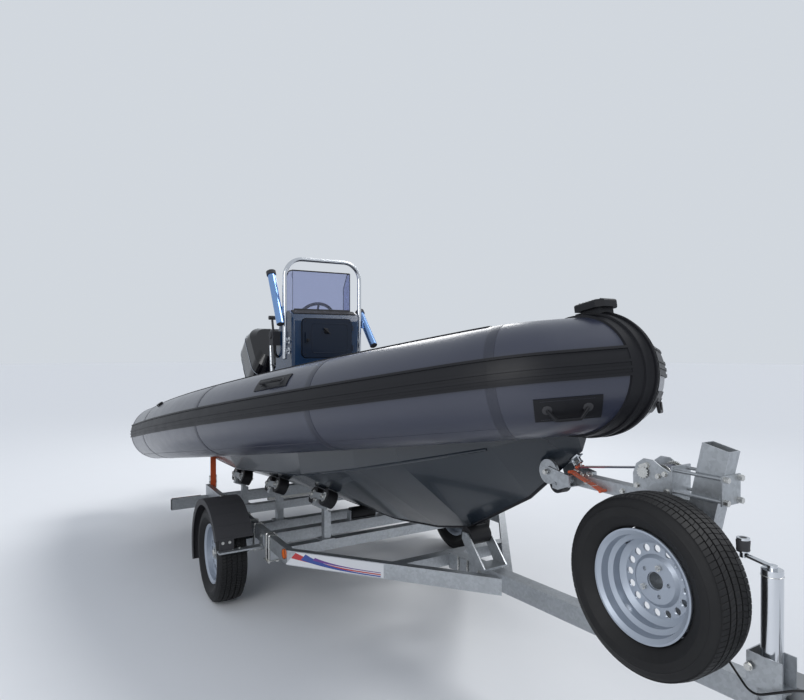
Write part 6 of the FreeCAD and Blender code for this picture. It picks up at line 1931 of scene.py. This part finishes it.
@dataclass
class Studio:
    """A plain pale floor, soft light and the camera at the photograph's angle."""

    eye: Point = (3.868, -1.9325, 1.593)
    look: Point = (-0.856, 0.516, -0.006)
    lens: float = 605.4 / 804 * 36
    floor_reach: float = 60.0
    floor_tone: tuple[float, float, float] = (0.8, 0.81, 0.82)
    haze: tuple[float, float, float] = (0.64, 0.68, 0.73)

    def floor(self) -> None:
        """Lays the floor."""
        shape = bmesh.new()
        bmesh.ops.create_circle(shape, cap_ends=True, segments=96, radius=self.floor_reach)
        mesh = bpy.data.meshes.new("floor")
        shape.to_mesh(mesh)
        shape.free()
        floor = in_scene("floor", mesh)
        mesh.materials.append(Finish("floor_pale", self.floor_tone, 0.75, tone=0.01,
            rough_swing=0.02).build())

    def lamp(self, name: str, kind: str, place: Point, aim: Point, settings: dict[str, float]) -> None:
        """Adds a soft lamp.

        Args:
            name: The lamp's name.
            kind: AREA or SUN.
            place: Where it stands.
            aim: What it points at.
            settings: Its power in watts, and its width in metres or its spread in radians.
        """
        data = bpy.data.lights.new(name, kind)
        for key, value in settings.items():
            setattr(data, key, value)
        lamp = in_scene(name, data)
        lamp.location = place
        lamp.rotation_euler = (Vector(aim) - Vector(place)).to_track_quat("-Z", "Y").to_euler()

    def sky(self) -> None:
        """Sets the pale surroundings."""
        world = bpy.data.worlds.new("pale_room")
        bpy.context.scene.world = world
        world.use_nodes = True
        tree = world.node_tree
        ground = next(n for n in tree.nodes if n.type == "BACKGROUND")
        ground.inputs["Strength"].default_value = 1.0
        rays = tree.nodes.new("ShaderNodeLightPath")
        mix = tree.nodes.new("ShaderNodeMix")
        mix.data_type = "RGBA"
        mix.inputs[6].default_value = (0.46, 0.5, 0.57, 1)
        mix.inputs[7].default_value = (*self.haze, 1)
        seen = rays.outputs["Is Camera Ray"]
        for kind in ("Is Glossy Ray", "Is Transmission Ray"):
            either = tree.nodes.new("ShaderNodeMath")
            either.operation = "MAXIMUM"
            tree.links.new(seen, either.inputs[0])
            tree.links.new(rays.outputs[kind], either.inputs[1])
            seen = either.outputs[0]
        tree.links.new(seen, mix.inputs[0])
        tree.links.new(mix.outputs[2], ground.inputs["Color"])

    def camera(self) -> None:
        """Places the camera."""
        data = bpy.data.cameras.new("camera")
        data.sensor_fit = "HORIZONTAL"
        data.sensor_width = 36
        data.lens = self.lens
        data.clip_end = 200
        camera = in_scene("camera", data)
        camera.location = self.eye
        camera.rotation_euler = Vector(self.look).to_track_quat("-Z", "Y").to_euler()
        bpy.context.scene.camera = camera

    def build(self) -> None:
        """Sets up the whole studio."""
        self.floor()
        self.sky()
        self.camera()
        self.lamp("main_light", "SUN", (0, 0, 0), (-0.35, -0.8, -1.0),
            {"energy": 1.35, "angle": radians(24.0)})
        self.lamp("side_panel", "AREA", (4.2, -5.0, 3.4), (0.6, -0.4, 0.9), {"energy": 120, "size": 3.2})
        self.lamp("rear_panel", "AREA", (-5.0, 3.5, 4.5), (-1.0, 0, 1.2), {"energy": 110, "size": 3.0})
        bpy.context.scene.view_settings.view_transform = "Standard"


def main() -> None:
    """Builds every sub-assembly and the studio."""
    logging.basicConfig(level=logging.INFO, format="%(name)s: %(message)s")
    dress_cad_nodes()
    Tyre("tread_tyre_port", "tyre_port", "wheel_port", (0, WHEEL_MIDDLE, WHEEL_HEIGHT)).build()
    Tyre("tread_tyre_starboard", "tyre_starboard", "wheel_starboard",
        (0, -WHEEL_MIDDLE, WHEEL_HEIGHT)).build()
    Tyre("tread_tyre_spare", "spare_tyre", ROOT, (2.588, -0.197, 0.816)).build()
    TubeDress().build()
    hull = HullDress()
    hull.build()
    ConsoleDress().build()
    SeatDress().build()
    OutboardDress().build()
    WheelDress(1, "wheel_port").build()
    WheelDress(-1, "wheel_starboard").build()
    FrameDress().build()
    SupportDress(hull).build()
    WinchDress().build()
    RearTies().build()
    SpareDress().build()
    JockeyDress().build()
    CouplingDress().build()
    LightingCable().build()
    Studio().build()


if __name__ == "__main__":
    main()
